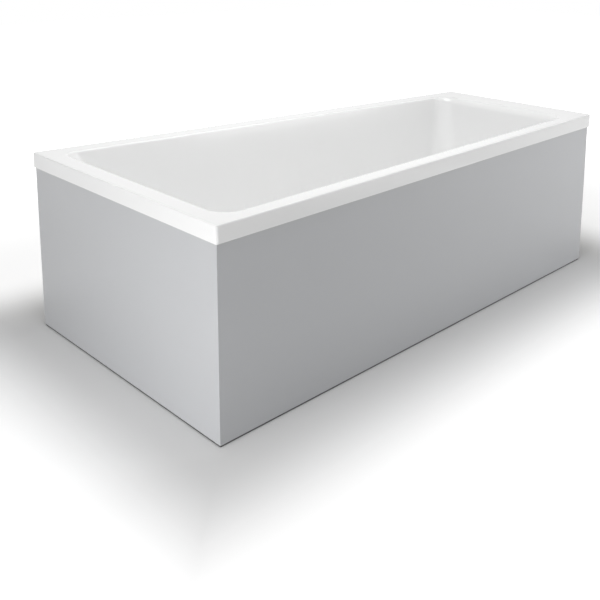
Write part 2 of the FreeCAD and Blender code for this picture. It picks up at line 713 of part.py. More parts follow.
def leg_nuts(point):
    """The two lock nuts that clamp a rail's web."""
    nuts = []
    for z in (BOARD_UNDER_Z, RAIL_WEB_Z - NUT_HEIGHT):
        nut = hexagon(NUT_AF, z, z + NUT_HEIGHT, point)
        bore_r = STUD_R + THREAD_CLEARANCE
        nuts.append(nut.cut(rod(bore_r, point + UP * z, UP, NUT_HEIGHT)))
    return nuts


def leg_stud(point):
    base = point + UP * STUD_SEAT
    top = BOARD_UNDER_Z + STUD_ABOVE_RAIL
    stud = rod(STUD_R, base, UP, top - STUD_SEAT)
    stud = stud.makeChamfer(STUD_R * STUD_TIP_SHARE, edges_at(stud, top, 0))
    hexed = hexagon(STUD_HEX_AF, PAD_HEIGHT, PAD_HEIGHT + STUD_HEX_HEIGHT, point)
    return fused(stud, hexed)


def leg_pad(point):
    pad = turned([(0, 0), (PAD_R - PAD_BEVEL, 0), (PAD_R, PAD_BEVEL), (PAD_R, PAD_EDGE),
                  (PAD_TOP_R, PAD_HEIGHT), (0, PAD_HEIGHT)])
    pad.translate(point)
    return pad.cut(rod(STUD_R, point + UP * STUD_SEAT, UP, PAD_HEIGHT))


# ---------------------------------------------------------------- waste and trap
def pipe(points, radius, bend_r):
    """A round rod along a path of three points, its one turn eased by an arc."""
    start, middle, end = points
    back = (start - middle).normalize()
    ahead = (end - middle).normalize()
    half = back.getAngle(ahead) / 2
    reach = bend_r / math.tan(half)
    pull = (back + ahead).normalize() * (bend_r / math.sin(half) - bend_r)
    first = middle + back * reach
    last = middle + ahead * reach
    path = Part.Wire([Part.LineSegment(start, first).toShape(),
                      Part.Arc(first, middle + pull, last).toShape(),
                      Part.LineSegment(last, end).toShape()])
    profile = Part.Wire(Part.makeCircle(radius, start, back * -1))
    return path.makePipeShell([profile], True, False)


def link(start, start_r, end, end_r, side, width):
    """A flat bar with round ends, hulled round two circles, centred along side."""
    way = (end - start).normalize()
    across = side.cross(way)
    low = side * (-width / 2)
    span = (end - start).Length
    lean = (start_r - end_r) / span
    rise = math.sqrt(1 - lean * lean)
    points = []
    for centre, radius, sign in ((start, start_r, 1), (end, end_r, 1), (end, end_r, -1),
                                 (start, start_r, -1)):
        points.append(centre + (way * lean + across * (rise * sign)) * radius + low)
    bar = Part.Face(Part.makePolygon(points + points[:1])).extrude(side * width)
    return fused(bar, rod(start_r, start + low, side, width), rod(end_r, end + low, side, width))


def waste_flange():
    """Strainer flange: a rim, a threaded tube, and a spoked guide for the plug's stem."""
    seat = FLANGE_SEAT_Z
    foot = FLANGE_FOOT_Z
    top = seat + FLANGE_EDGE
    flange = turned([(FLANGE_TUBE_R, foot), (FLANGE_TUBE_R, seat), (FLANGE_R, seat),
                     (FLANGE_R, seat + FLANGE_EDGE / 2), (FLANGE_R - FLANGE_BEVEL, top),
                     (FLANGE_BORE_R + FLANGE_DISH, top), (FLANGE_BORE_R, seat),
                     (FLANGE_BORE_R, foot)])
    guide = rod(GUIDE_R, UP * foot, UP, GUIDE_HEIGHT)
    reach = (FLANGE_BORE_R + FLANGE_TUBE_R) / 2
    spokes = []
    for i in range(3):
        spoke = Part.makeBox(reach, SPOKE_WIDTH, GUIDE_HEIGHT / 2,
                             Vector(0, -SPOKE_WIDTH / 2, foot))
        spoke.rotate(Vector(), UP, 120 * i)
        spokes.append(spoke)
    flange = fused(flange, guide, *spokes)
    flange = flange.cut(rod(STEM_R + STEM_CLEARANCE, Vector(), UP, RIM_HEIGHT))
    flange.translate(WASTE)
    return flange


def waste_seals():
    """The flat seals above and below the basin's floor."""
    bore_r = WASTE_HOLE_R + SEAL_INSET
    upper = ring(FLANGE_R - SEAL_INSET, bore_r, FLANGE_SEAT_Z - WASTE_SEAL, FLANGE_SEAT_Z, WASTE)
    lower = ring(CUP_FLANGE_R - SEAL_INSET, bore_r, CUP_TOP_Z, UNDERSIDE_HEIGHT, WASTE)
    return upper, lower


def waste_body():
    """The cup under the floor, with its inlet, outlet and cable socket."""
    solid = [ring(CUP_FLANGE_R, FLANGE_TUBE_R, CUP_TOP_Z - CUP_FLANGE, CUP_TOP_Z, WASTE),
             rod(CUP_R, WASTE + UP * CUP_BOTTOM_Z, UP, CUP_TOP_Z - CUP_BOTTOM_Z),
             rod(INLET_R, WASTE + UP * PIPE_Z, TO_OVERFLOW, CUP_R + SPIGOT_LENGTH),
             rod(OUTLET_R, WASTE + UP * TRAP_PIPE_Z, TO_TRAP, CUP_R + SPIGOT_LENGTH),
             rod(SOCKET_R, SHEATH_END + TO_SHEATH * -SOCKET_LENGTH, TO_SHEATH,
                 SOCKET_LENGTH + SHEATH_INSERT)]
    inside = CUP_R - CUP_WALL
    floor_z = CUP_BOTTOM_Z + CUP_WALL
    holes = [rod(inside, WASTE + UP * floor_z, UP, FLANGE_FOOT_Z - floor_z),
             rod(FLANGE_TUBE_R, WASTE + UP * FLANGE_FOOT_Z, UP, CUP_TOP_Z),
             rod(OVERFLOW_PIPE_R - PIPE_WALL, WASTE + UP * PIPE_Z, TO_OVERFLOW, 3 * CUP_R),
             rod(OVERFLOW_PIPE_R, INLET_END, TO_OVERFLOW, PIPE_INSERT),
             rod(TRAP_PIPE_R - PIPE_WALL, WASTE + UP * TRAP_PIPE_Z, TO_TRAP, 3 * CUP_R),
             rod(TRAP_PIPE_R, OUTLET_END, TO_TRAP, PIPE_INSERT),
             rod(SHEATH_R, SHEATH_END, TO_SHEATH, SHEATH_INSERT),
             rod(SHEATH_R / 2, SHEATH_END, TO_SHEATH * -1, SOCKET_LENGTH + CUP_WALL),
             rod(LEVER_PIN_R, LEVER_PIVOT - LEVER_AXIS * CUP_R, LEVER_AXIS, 2 * CUP_R)]
    return fused(*solid).cut(Part.makeCompound(holes))


def lift_lever():
    """The lever under the stem, at rest with the plug down, and its pin."""
    pull = LEVER_PIVOT + UP * LEVER_CABLE_ARM
    lever = fused(link(LEVER_PIVOT, LEVER_HUB_R, LEVER_TIP, LEVER_TIP_R, LEVER_AXIS, LEVER_WIDTH),
                  link(LEVER_PIVOT, LEVER_HUB_R, pull, LEVER_TIP_R, LEVER_AXIS, LEVER_WIDTH))
    bore_r = LEVER_PIN_R + STEM_CLEARANCE
    lever = lever.cut(rod(bore_r, LEVER_PIVOT - LEVER_AXIS * CUP_R, LEVER_AXIS, 2 * CUP_R))
    reach = math.sqrt(CUP_R ** 2 - (LEVER_PIVOT - WASTE - UP * LEVER_Z).Length ** 2)
    pin = rod(LEVER_PIN_R, LEVER_PIVOT - LEVER_AXIS * reach, LEVER_AXIS, 2 * reach)
    return lever, pin


def plug():
    """The plug's crowned cap with its stem, and the seal round its boss."""
    under = FLANGE_SEAT_Z + FLANGE_EDGE + PLUG_GAP
    boss_z = under - 2 * PLUG_SEAL
    edge = under + PLUG_EDGE
    seal_r = FLANGE_BORE_R - PLUG_SEAL_GAP
    seal_in = seal_r * PLUG_SEAL_SHARE
    lip_r = seal_r - PLUG_SEAL_LIP
    lip_z = boss_z + PLUG_SEAL_LIP
    stem_z = LEVER_TIP.z + LEVER_TIP_R + LEVER_STEM_GAP
    rim = PLUG_R - PLUG_BEVEL
    profile = [Vector(0, 0, stem_z), Vector(STEM_TIP_R, 0, stem_z),
               Vector(STEM_R, 0, stem_z + STEM_TIP), Vector(STEM_R, 0, boss_z),
               Vector(lip_r, 0, boss_z), Vector(lip_r, 0, lip_z), Vector(seal_in, 0, lip_z),
               Vector(seal_in, 0, under), Vector(PLUG_R, 0, under),
               Vector(PLUG_R, 0, edge - PLUG_BEVEL), Vector(rim, 0, edge)]
    top = Vector(0, 0, edge + PLUG_CROWN)
    ball_r = (rim ** 2 + PLUG_CROWN ** 2) / (2 * PLUG_CROWN)
    half_way = Vector(rim / 2, 0, top.z - ball_r + math.sqrt(ball_r ** 2 - (rim / 2) ** 2))
    dome = Part.Arc(profile[-1], half_way, top).toShape()
    stem = Part.LineSegment(top, profile[0]).toShape()
    wire = Part.Wire(Part.makePolygon(profile).Edges + [dome, stem])
    cap = Part.Face(wire).revolve(Vector(), UP, 360)
    seal = ring(seal_r, seal_in, lip_z, lip_z + PLUG_SEAL)
    cap.translate(WASTE)
    seal.translate(WASTE)
    return cap, seal


def ring_nut(centre, axis, inner_r, tube_r):
    """A union nut over a spigot's mouth: it grips the spigot and closes on the pipe."""
    outer_r = inner_r + NUT_RING
    start = centre - axis * (RING_NUT_LENGTH / 2)
    nut = rod(outer_r, start, axis, RING_NUT_LENGTH)
    nut = nut.cut(rod(inner_r, start, axis, RING_NUT_LENGTH / 2))
    nut = nut.cut(rod(tube_r, centre, axis, RING_NUT_LENGTH / 2))
    grooves = []
    across = axis.cross(UP) if abs(axis.z) < 0.5 else Vector(1, 0, 0)
    for i in range(NUT_GROOVES):
        turn = FreeCAD.Rotation(axis, 360.0 * i / NUT_GROOVES)
        place = start + turn.multVec(across) * (outer_r + NUT_RING / 3)
        grooves.append(rod(NUT_RING, place, axis, RING_NUT_LENGTH * NUT_GROOVE_SHARE))
    return nut.cut(Part.makeCompound(grooves))


def trap():
    """A flat trap: inlet neck, a round body with a baffle, an outlet and a top opening."""
    high = TRAP_TOP_Z
    low = high - TRAP_HEIGHT
    height = UP * TRAP_PIPE_Z
    neck_start = OUTLET_END
    solid = [rod(TRAP_R, TRAP + UP * low, UP, high - low),
             rod(TRAP_PIPE_R, neck_start, TO_TRAP, (TRAP + height - neck_start).Length),
             rod(OUTLET_R, TRAP + height, TO_TRAP, TRAP_R + SPIGOT_LENGTH)]
    inside = TRAP_R - TRAP_WALL
    floor_z = low + TRAP_WALL
    chamber = rod(inside, TRAP + UP * floor_z, UP, high - TRAP_WALL - floor_z)
    bore = rod(TRAP_PIPE_R - PIPE_WALL, neck_start, TO_TRAP, RIM_HEIGHT)
    socket = rod(OUTLET_PLUG_R, TRAP_MOUTH - TO_TRAP * PIPE_INSERT, TO_TRAP, PIPE_INSERT)
    top = rod(TRAP_CAP_R - TRAP_WALL, TRAP + UP * floor_z, UP, high)
    body = fused(*solid).cut(Part.makeCompound([chamber, bore, socket, top]))
    baffle = box_between((TRAP.x - inside - 1, TRAP.x + inside + 1),
                         (TRAP.y - TRAP_WALL / 2, TRAP.y + TRAP_WALL / 2),
                         (floor_z + TRAP_BAFFLE_GAP, high - TRAP_CAP))
    return fused(body, baffle)


def trap_cap():
    """The screwed cleaning cap on the trap."""
    high = TRAP_TOP_Z
    low = high - TRAP_CAP / 2
    edge = high + TRAP_CAP_EDGE
    plug_r = TRAP_CAP_R - TRAP_WALL
    cap = turned([(0, low), (plug_r, low), (plug_r, high), (TRAP_CAP_R, high), (TRAP_CAP_R, edge),
                  (0, edge)])
    half = TRAP_CAP_R * TRAP_GRIP_SHARE
    grip = Part.makeBox(2 * half, TRAP_GRIP_WIDTH, TRAP_CAP,
                        Vector(-half, -TRAP_GRIP_WIDTH / 2, high))
    cap = fused(cap, grip)
    cap.translate(TRAP)
    return cap


def outlet_pipe():
    """The outlet's tail: it plugs into the trap, has a collar under the nut, and a 40 mm end."""
    start = TRAP_MOUTH - TO_TRAP * PIPE_INSERT
    end_y = BACK_Y - OUTLET_WALL_GAP
    tail = fused(rod(OUTLET_PLUG_R, start, TO_TRAP, PIPE_INSERT),
                 rod(OUTLET_R, TRAP_MOUTH, TO_TRAP, RING_NUT_LENGTH / 2 + OUTLET_COLLAR_PROUD),
                 rod(TRAP_PIPE_R, TRAP_MOUTH, TO_TRAP, end_y - TRAP_MOUTH.y))
    return tail.cut(rod(TRAP_PIPE_R - PIPE_WALL, start, TO_TRAP, end_y - start.y))


# ---------------------------------------------------------------- overflow
def at_overflow(shape):
    """Place a shape made about the overflow's axis: Z into the basin, Y up the wall."""
    up_wall = ALONG_FRONT.cross(OVERFLOW_AXIS)
    turn = FreeCAD.Rotation(ALONG_FRONT * -1, up_wall, OVERFLOW_AXIS, "ZXY")
    placed = shape.copy()
    placed.Placement = FreeCAD.Placement(OVERFLOW, turn).multiply(shape.Placement)
    return placed


def overflow_body():
    """The housing behind the wall, with its outlet, cable socket and spindle boss."""
    face = HOUSING_FACE
    back = HOUSING_BACK
    inner_back = back + OVERFLOW_CUP_WALL
    boss_top = CRANK_LOW - CRANK_GAP
    inside = OVERFLOW_CUP_R - OVERFLOW_CUP_WALL
    housing = fused(rod(OVERFLOW_FLANGE_R, UP * (face - OVERFLOW_FLANGE), UP, OVERFLOW_FLANGE),
                    rod(OVERFLOW_CUP_R, UP * back, UP, OVERFLOW_CUP_DEPTH))
    mouth = rod(OVERFLOW_HOLE_R, UP * inner_back, UP, RIM_HEIGHT)
    hollow = rod(inside, UP * inner_back, UP, face - OVERFLOW_FLANGE - inner_back)
    housing = at_overflow(housing.cut(mouth).cut(hollow))
    spigot = rod(INLET_R, SPIGOT_FOOT, UP, SPIGOT_LENGTH + SPIGOT_RISE)
    socket = rod(SOCKET_R, SHEATH_START, UP, SOCKET_LENGTH + SPIGOT_RISE)
    cap_side = rod(2 * PLATE_R, UP * (face - OVERFLOW_FLANGE), UP, 2 * PLATE_R)
    room = rod(inside, UP * inner_back, UP, RIM_HEIGHT)
    below = fused(spigot, socket).cut(at_overflow(cap_side)).cut(at_overflow(room))
    posts = [rod(BOSS_R, UP * inner_back, UP, boss_top - inner_back)]
    for x in (-PLATE_SCREW_AT, PLATE_SCREW_AT):
        posts.append(rod(2 * PLATE_SCREW[2], Vector(x, 0, inner_back), UP, -inner_back))
    posts = [at_overflow(post) for post in posts]
    body = fused(housing, below, *posts)
    bores = [rod(OVERFLOW_PIPE_R - PIPE_WALL, SPIGOT_FOOT, UP, SPIGOT_LENGTH + SPIGOT_RISE),
             rod(OVERFLOW_PIPE_R, SPIGOT_FOOT, UP, PIPE_INSERT),
             rod(SHEATH_R, SHEATH_START, UP, SHEATH_INSERT),
             rod(SHEATH_R / 2, SHEATH_START, UP, SOCKET_LENGTH + SPIGOT_RISE)]
    keep = at_overflow(rod(2 * PLATE_R, UP * (face - OVERFLOW_FLANGE - 0.01), UP, 2 * PLATE_R))
    bores = [bore.cut(keep) for bore in bores]
    spindle = rod(SPINDLE_R + SPINDLE_CLEARANCE, UP * inner_back, UP, boss_top - inner_back)
    bores.append(at_overflow(spindle))
    return body.cut(Part.makeCompound(bores))


def overflow_seal():
    seal = ring(OVERFLOW_FLANGE_R - SEAL_INSET, OVERFLOW_HOLE_R + SEAL_INSET, HOUSING_FACE, -SHELL)
    return at_overflow(seal)


def overflow_plate():
    """The ring inside the basin, its two spokes and hub, and the screws through it."""
    rim_in = PLATE_R - PLATE_RIM
    plate = fused(ring(PLATE_R, rim_in, 0, PLATE), rod(PLATE_HUB_R, Vector(), UP, PLATE),
                  Part.makeBox(2 * rim_in + 2, PLATE_SPOKE, PLATE,
                               Vector(-rim_in - 1, -PLATE_SPOKE / 2, 0)))
    plate = plate.cut(rod(SPINDLE_R + SPINDLE_CLEARANCE, Vector(), UP, PLATE))
    screws = []
    for x in (-PLATE_SCREW_AT, PLATE_SCREW_AT):
        screws.append(screw(PLATE_SCREW, Vector(x, 0, PLATE), UP * -1))
    plate = plate.cut(Part.makeCompound(screws))
    return at_overflow(plate), [at_overflow(piece) for piece in screws]


def overflow_knob():
    """The rotary knob with its grip and spindle, at rest in the shut position."""
    low = PLATE + KNOB_GAP
    high = low + KNOB
    rim = KNOB_EDGE
    body = turned([(0, SPINDLE_END), (SPINDLE_R, SPINDLE_END), (SPINDLE_R, low),
                   (KNOB_R - rim, low), (KNOB_R, low + rim), (KNOB_R, high - 2 * rim),
                   (KNOB_R - rim, high - rim), (KNOB_R - 3 * rim, high - rim / 2), (0, high)])
    length, width, height = KNOB_GRIP
    half = length / 2 - width / 2
    grip = link(Vector(-half, 0, 0), width / 2, Vector(half, 0, 0), width / 2, UP, height * 2)
    grip.translate(UP * (high - rim / 2))
    return at_overflow(fused(body, grip))


def knob_crank():
    """The crank on the spindle, inside the housing, that pulls the cable."""
    rest = math.radians(CRANK_REST_DEG)
    end = Vector(CRANK_ARM * math.cos(rest), CRANK_ARM * math.sin(rest), 0)
    crank = link(Vector(), 2 * SPINDLE_R, end, CRANK_END_R, UP, CRANK)
    crank.translate(UP * (CRANK_LOW + CRANK / 2))
    crank = crank.cut(rod(SPINDLE_R, UP * CRANK_LOW, UP, CRANK))
    crank = crank.cut(rod(CRANK_END_R / 3, end + UP * CRANK_LOW, UP, CRANK))
    return at_overflow(crank)


# ---------------------------------------------------------------- the whole bath
def main():
    save("tub_shell", tub_shell())

    rail_names = {"head_rail": HEAD_RAIL_X, "drain_rail": DRAIN_RAIL_X}
    board, floor_insets = base_board()
    board_screws = []
    for name, rail_x in rail_names.items():
        channel, screws = rail(rail_x, floor_insets)
        save(name, channel)
        board_screws += screws
    save("rail_screws", *board_screws)
    save("base_board", board.cut(Part.makeCompound(board_screws)))

    nuts = []
    for name, rail_x in (("head", HEAD_RAIL_X), ("drain", DRAIN_RAIL_X)):
        for place, point in zip(("front", "back"), leg_points(rail_x)):
            save(f"leg_stud_{name}_{place}", leg_stud(point))
            save(f"leg_pad_{name}_{place}", leg_pad(point))
            nuts += leg_nuts(point)
    save("leg_lock_nuts", *nuts)

    front_length = (corner("front", 0, "drain", 0) - corner("front", 0, "head", 0)).Length
    front_clips, front_clip_screws = panel_clips("front", front_length, FRONT_CLIPS)
    end_clips, end_clip_screws = panel_clips("head", HEAD_WIDTH, END_CLIPS)
    save("front_panel_clips", *front_clips)
    save("end_panel_clips", *end_clips)
    save("clip_screws", *front_clip_screws, *end_clip_screws)
    rim_battens = battens()
    save("front_batten", rim_battens["front"].cut(Part.makeCompound(front_clip_screws)))
    save("head_batten", rim_battens["head"].cut(Part.makeCompound(end_clip_screws)))
    save("back_batten", rim_battens["back"])
    save("drain_batten", rim_battens["drain"])

    brackets, bracket_screws = corner_brackets()
    front_angle, front_angle_screws = wall_angle("front", "drain")
    end_angle, end_angle_screws = wall_angle("head", "back")
    save("corner_brackets", *brackets)
    save("corner_bracket_screws", *bracket_screws)
    save("front_wall_angle", front_angle)
    save("end_wall_angle", end_angle)
    save("wall_angle_screws", *front_angle_screws, *end_angle_screws)
    panel_holes = Part.makeCompound(bracket_screws + front_angle_screws + end_angle_screws)
    front_panel, end_panel = mitred_pair(PANEL_FACE, PANEL, PANEL_FACE, SEAL_HEIGHT, PANEL_TOP_Z)
    save("front_panel", front_panel.cut(panel_holes))
    save("end_panel", end_panel.cut(panel_holes))
    seal_face = PANEL_FACE + (PANEL - SEAL_WIDTH) / 2
    front_seal, end_seal = mitred_pair(seal_face, SEAL_WIDTH, seal_face, 0, SEAL_HEIGHT)
    save("front_base_seal", front_seal)
    save("end_base_seal", end_seal)

    anchor_x = HALF_LENGTH - BACK_ANCHOR_INSET
    save("back_wall_anchors", wall_anchor("back", Vector(-anchor_x, BACK_Y, 0)),
         wall_anchor("back", Vector(anchor_x, BACK_Y, 0)))
    end_anchor_y = BACK_Y - END_ANCHOR_FROM_WALL
    save("end_wall_anchor", wall_anchor("drain", Vector(HALF_LENGTH, end_anchor_y, 0)))

    upper_seal, lower_seal = waste_seals()
    save("waste_flange", waste_flange())
    save("waste_upper_seal", upper_seal)
    save("waste_lower_seal", lower_seal)
    save("waste_body", waste_body())
    lever, lever_pin = lift_lever()
    save("lift_lever", lever)
    save("lever_pin", lever_pin)
    plug_cap, plug_seal = plug()
    save("plug", plug_cap)
    save("plug_seal", plug_seal)
    save("trap", trap())
    save("trap_cap", trap_cap())
    save("trap_nuts", ring_nut(OUTLET_END + TO_TRAP * PIPE_INSERT, TO_TRAP, OUTLET_R, TRAP_PIPE_R),
         ring_nut(TRAP_MOUTH, TO_TRAP, OUTLET_R, OUTLET_R))
    save("outlet_pipe", outlet_pipe())

    plate, plate_screws = overflow_plate()
    save("overflow_body", overflow_body().cut(Part.makeCompound(plate_screws)))
    save("overflow_seal", overflow_seal())
    save("overflow_plate", plate)
    save("overflow_plate_screws", *plate_screws)
    save("overflow_knob", overflow_knob())
    save("knob_crank", knob_crank())
    path = [SPIGOT_FOOT + UP * PIPE_INSERT, PIPE_PLAN + UP * PIPE_Z, INLET_END]
    save("overflow_pipe", pipe(path, OVERFLOW_PIPE_R, PIPE_BEND_R)
         .cut(pipe(path, OVERFLOW_PIPE_R - PIPE_WALL, PIPE_BEND_R)))
    save("overflow_pipe_nuts", ring_nut(SPIGOT_FOOT, UP * -1, INLET_R, OVERFLOW_PIPE_R),
         ring_nut(INLET_END + TO_OVERFLOW * PIPE_INSERT, TO_OVERFLOW, INLET_R, OVERFLOW_PIPE_R))
    path = [SHEATH_START + UP * SHEATH_INSERT, SHEATH_PLAN + UP * SHEATH_Z, SHEATH_END]
    save("cable_sheath", pipe(path, SHEATH_R, SHEATH_BEND_R))


main()
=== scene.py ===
"""Looks of the alcove bathtub, over its frame. Lengths are in metres, Z is up."""
import json
import math

import bmesh
import bpy
from mathutils import Matrix, Vector

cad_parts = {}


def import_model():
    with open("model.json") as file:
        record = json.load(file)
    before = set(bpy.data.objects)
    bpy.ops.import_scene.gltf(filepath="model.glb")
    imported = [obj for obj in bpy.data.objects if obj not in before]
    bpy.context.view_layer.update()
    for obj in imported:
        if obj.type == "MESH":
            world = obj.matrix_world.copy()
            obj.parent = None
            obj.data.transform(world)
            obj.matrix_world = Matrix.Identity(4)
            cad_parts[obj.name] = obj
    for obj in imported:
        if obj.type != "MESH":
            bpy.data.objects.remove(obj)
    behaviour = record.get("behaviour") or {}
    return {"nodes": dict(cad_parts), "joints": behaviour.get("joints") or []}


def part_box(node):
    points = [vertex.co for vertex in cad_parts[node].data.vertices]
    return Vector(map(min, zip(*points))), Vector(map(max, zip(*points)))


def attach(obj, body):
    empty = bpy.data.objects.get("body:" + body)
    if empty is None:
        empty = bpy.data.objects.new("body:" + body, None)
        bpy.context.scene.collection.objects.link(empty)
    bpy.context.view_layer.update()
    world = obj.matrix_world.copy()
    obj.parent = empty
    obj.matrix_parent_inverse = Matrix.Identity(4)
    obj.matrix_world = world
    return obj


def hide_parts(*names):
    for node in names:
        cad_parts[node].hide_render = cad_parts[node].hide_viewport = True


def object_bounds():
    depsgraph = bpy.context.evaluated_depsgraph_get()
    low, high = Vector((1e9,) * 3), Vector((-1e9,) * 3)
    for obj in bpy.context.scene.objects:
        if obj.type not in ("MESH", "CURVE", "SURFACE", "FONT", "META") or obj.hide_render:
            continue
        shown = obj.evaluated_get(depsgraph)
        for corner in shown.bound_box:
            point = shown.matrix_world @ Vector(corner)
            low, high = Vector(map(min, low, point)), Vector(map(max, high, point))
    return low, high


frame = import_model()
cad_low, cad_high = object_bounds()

nodes = frame["nodes"]

# ---------------------------------------------------------------- sizes of the tub
LENGTH = 1.6
HEAD_WIDTH = 0.85
DRAIN_WIDTH = 0.59
OUTER_CORNER_R = 0.007
SHELL = 0.005
LIP_HEIGHT = 0.040
LIP_FOOT_R = 0.0015
LIP_INNER_CORNER_R = 0.001
RIM_EDGE_R = 0.004
DECK = {"front": 0.045, "drain": 0.108, "back": 0.063, "head": 0.052}
SLOPE_DEG = {"front": 10.0, "drain": 6.5, "back": 8.0, "head": 26.0}
BASIN_DEPTH = 0.385
BASIN_EDGE_R = 0.007
DRAIN_ROLL_R = 0.025
LEAST_FILLET_R = 0.001
BASIN_TOP_CORNER_R = 0.045
BASIN_FLOOR_CORNER_R = 0.090
BASIN_FLOOR_R = 0.075
FLOOR_MARGIN = 0.025
FLOOR_RING_CORNER_R = 0.040
WASTE_HOLE_R = 0.026
WASTE_RECESS_R = 0.036
WASTE_RECESS = 0.002
WASTE_EDGE = 0.0004
UNDER_DECK_R = 0.003
OVERFLOW_HOLE_R = 0.027

SKEW = math.atan2(HEAD_WIDTH - DRAIN_WIDTH, LENGTH)
ALONG_FRONT = Vector((math.cos(SKEW), math.sin(SKEW), 0))
FRONT_IN = Vector((-math.sin(SKEW), math.cos(SKEW), 0))
CORNER_TRIM = OUTER_CORNER_R * (1 / math.cos(SKEW) + math.tan(SKEW) - 1)
NEAR_Y = -(HEAD_WIDTH + CORNER_TRIM) / 2
BACK_Y = (HEAD_WIDTH - CORNER_TRIM) / 2
RIM_Z = cad_high.z
FLOOR_Z = RIM_Z - BASIN_DEPTH

# Each side's line: a point on it, its direction, and the way in to the bath
SIDES = {
    "front": (Vector((-LENGTH / 2, NEAR_Y, 0)), ALONG_FRONT, FRONT_IN),
    "drain": (Vector((LENGTH / 2, 0, 0)), Vector((0, 1, 0)), Vector((-1, 0, 0))),
    "back": (Vector((0, BACK_Y, 0)), Vector((-1, 0, 0)), Vector((0, -1, 0))),
    "head": (Vector((-LENGTH / 2, 0, 0)), Vector((0, -1, 0)), Vector((1, 0, 0))),
}
AROUND = ("front", "drain", "back", "head")


# ---------------------------------------------------------------- material helpers
def new_material(name):
    made = bpy.data.materials.new(name)
    made.use_nodes = True
    return made, made.node_tree, made.node_tree.nodes["Principled BSDF"]


def add(tree, kind, settings=None, **inputs):
    """A node with its settings, and its inputs by name: a socket is linked, a value is set."""
    made = tree.nodes.new(kind)
    for key, value in (settings or {}).items():
        setattr(made, key, value)
    for key, value in inputs.items():
        socket = made.inputs[key.replace("_", " ")]
        if isinstance(value, bpy.types.NodeSocket):
            tree.links.new(value, socket)
        else:
            socket.default_value = value
    return made


def place(tree, stretch=(1, 1, 1)):
    """Object coordinates, stretched."""
    source = add(tree, "ShaderNodeTexCoord")
    return add(tree, "ShaderNodeMapping", Vector=source.outputs["Object"],
               Scale=stretch).outputs["Vector"]


def noise(tree, scale, detail=3.0, rough=0.5, distortion=0.0, stretch=(1, 1, 1)):
    made = add(tree, "ShaderNodeTexNoise", Vector=place(tree, stretch), Scale=scale,
               Detail=detail, Roughness=rough, Distortion=distortion)
    return made.outputs["Fac"]


def ramp(tree, factor, *stops):
    """A colour ramp with (position, colour) stops; a grey is given as one number."""
    made = add(tree, "ShaderNodeValToRGB", Fac=factor)
    band = made.color_ramp
    while len(band.elements) < len(stops):
        band.elements.new(0.5)
    for element, (position, colour) in zip(band.elements, stops):
        element.position = position
        grey = isinstance(colour, (int, float))
        element.color = (colour, colour, colour, 1) if grey else (*colour, 1)
    return made.outputs["Color"]


def math_node(tree, operation, *values):
    """A math node on sockets or plain numbers."""
    made = tree.nodes.new("ShaderNodeMath")
    made.operation = operation
    for socket, value in zip(made.inputs, values):
        if isinstance(value, bpy.types.NodeSocket):
            tree.links.new(value, socket)
        else:
            socket.default_value = value
    return made.outputs[0]


def mix(tree, factor, low, high):
    """A colour between two, each a socket or a plain colour."""
    made = add(tree, "ShaderNodeMix", {"data_type": "RGBA"})
    for socket, value in ((made.inputs[0], factor), (made.inputs[6], low), (made.inputs[7], high)):
        if isinstance(value, bpy.types.NodeSocket):
            tree.links.new(value, socket)
        elif isinstance(value, (int, float)):
            socket.default_value = value
        else:
            socket.default_value = (*value, 1)
    return made.outputs[2]


def bump(tree, shader, height, distance, strength=1.0):
    made = add(tree, "ShaderNodeBump", Height=height, Distance=distance, Strength=strength)
    tree.links.new(made.outputs["Normal"], shader.inputs["Normal"])


def facing(tree, way):
    """How far the surface faces a direction, from -1 to 1, in the object's own frame."""
    source = add(tree, "ShaderNodeTexCoord")
    dot = add(tree, "ShaderNodeVectorMath", {"operation": "DOT_PRODUCT"})
    tree.links.new(source.outputs["Normal"], dot.inputs[0])
    dot.inputs[1].default_value = way
    return dot.outputs["Value"]


# ---------------------------------------------------------------- materials
def acrylic():
    """Cast white acrylic: glossy, with the faint swell of a sheet drawn over a mould."""
    made, tree, shader = new_material("acrylic_gloss")
    tone = noise(tree, 2.2, 2.0)
    colour = ramp(tree, tone, (0.3, (0.893, 0.895, 0.893)), (0.7, (0.905, 0.906, 0.903)))
    tree.links.new(colour, shader.inputs["Base Color"])
    rough = ramp(tree, noise(tree, 9.0, 4.0, 0.6), (0.35, 0.13), (0.75, 0.19))
    tree.links.new(rough, shader.inputs["Roughness"])
    shader.inputs["IOR"].default_value = 1.49
    shader.inputs["Coat Weight"].default_value = 0.25
    shader.inputs["Coat Roughness"].default_value = 0.04
    swell = noise(tree, 5.0, 1.5)
    peel = noise(tree, 420.0, 2.0)
    height = math_node(tree, "MULTIPLY_ADD", peel, 0.03, swell)
    bump(tree, shader, height, 0.00030, 0.35)
    return made


def laminate():
    """Glass-fibre laminate behind the acrylic: chopped strands under rolled-on resin."""
    made, tree, shader = new_material("glass_laminate")
    strands = []
    for index, stretch in enumerate(((26, 340, 150), (300, 40, 170), (190, 230, 24))):
        strands.append(noise(tree, 1.0, 3.0, 0.55, 1.2 + index * 0.4, stretch))
    woven = math_node(tree, "MAXIMUM", strands[0], math_node(tree, "MAXIMUM", *strands[1:]))
    patches = noise(tree, 5.0, 4.0, 0.6)
    base = ramp(tree, patches, (0.3, (0.66, 0.64, 0.56)), (0.7, (0.75, 0.735, 0.67)))
    thread = ramp(tree, woven, (0.52, (0.60, 0.58, 0.49)), (0.72, (0.84, 0.83, 0.78)))
    tree.links.new(mix(tree, 0.5, base, thread), shader.inputs["Base Color"])
    rough = ramp(tree, woven, (0.45, 0.42), (0.75, 0.68))
    tree.links.new(rough, shader.inputs["Roughness"])
    height = math_node(tree, "MULTIPLY_ADD", patches, 1.6, woven)
    bump(tree, shader, height, 0.0014, 0.75)
    return made


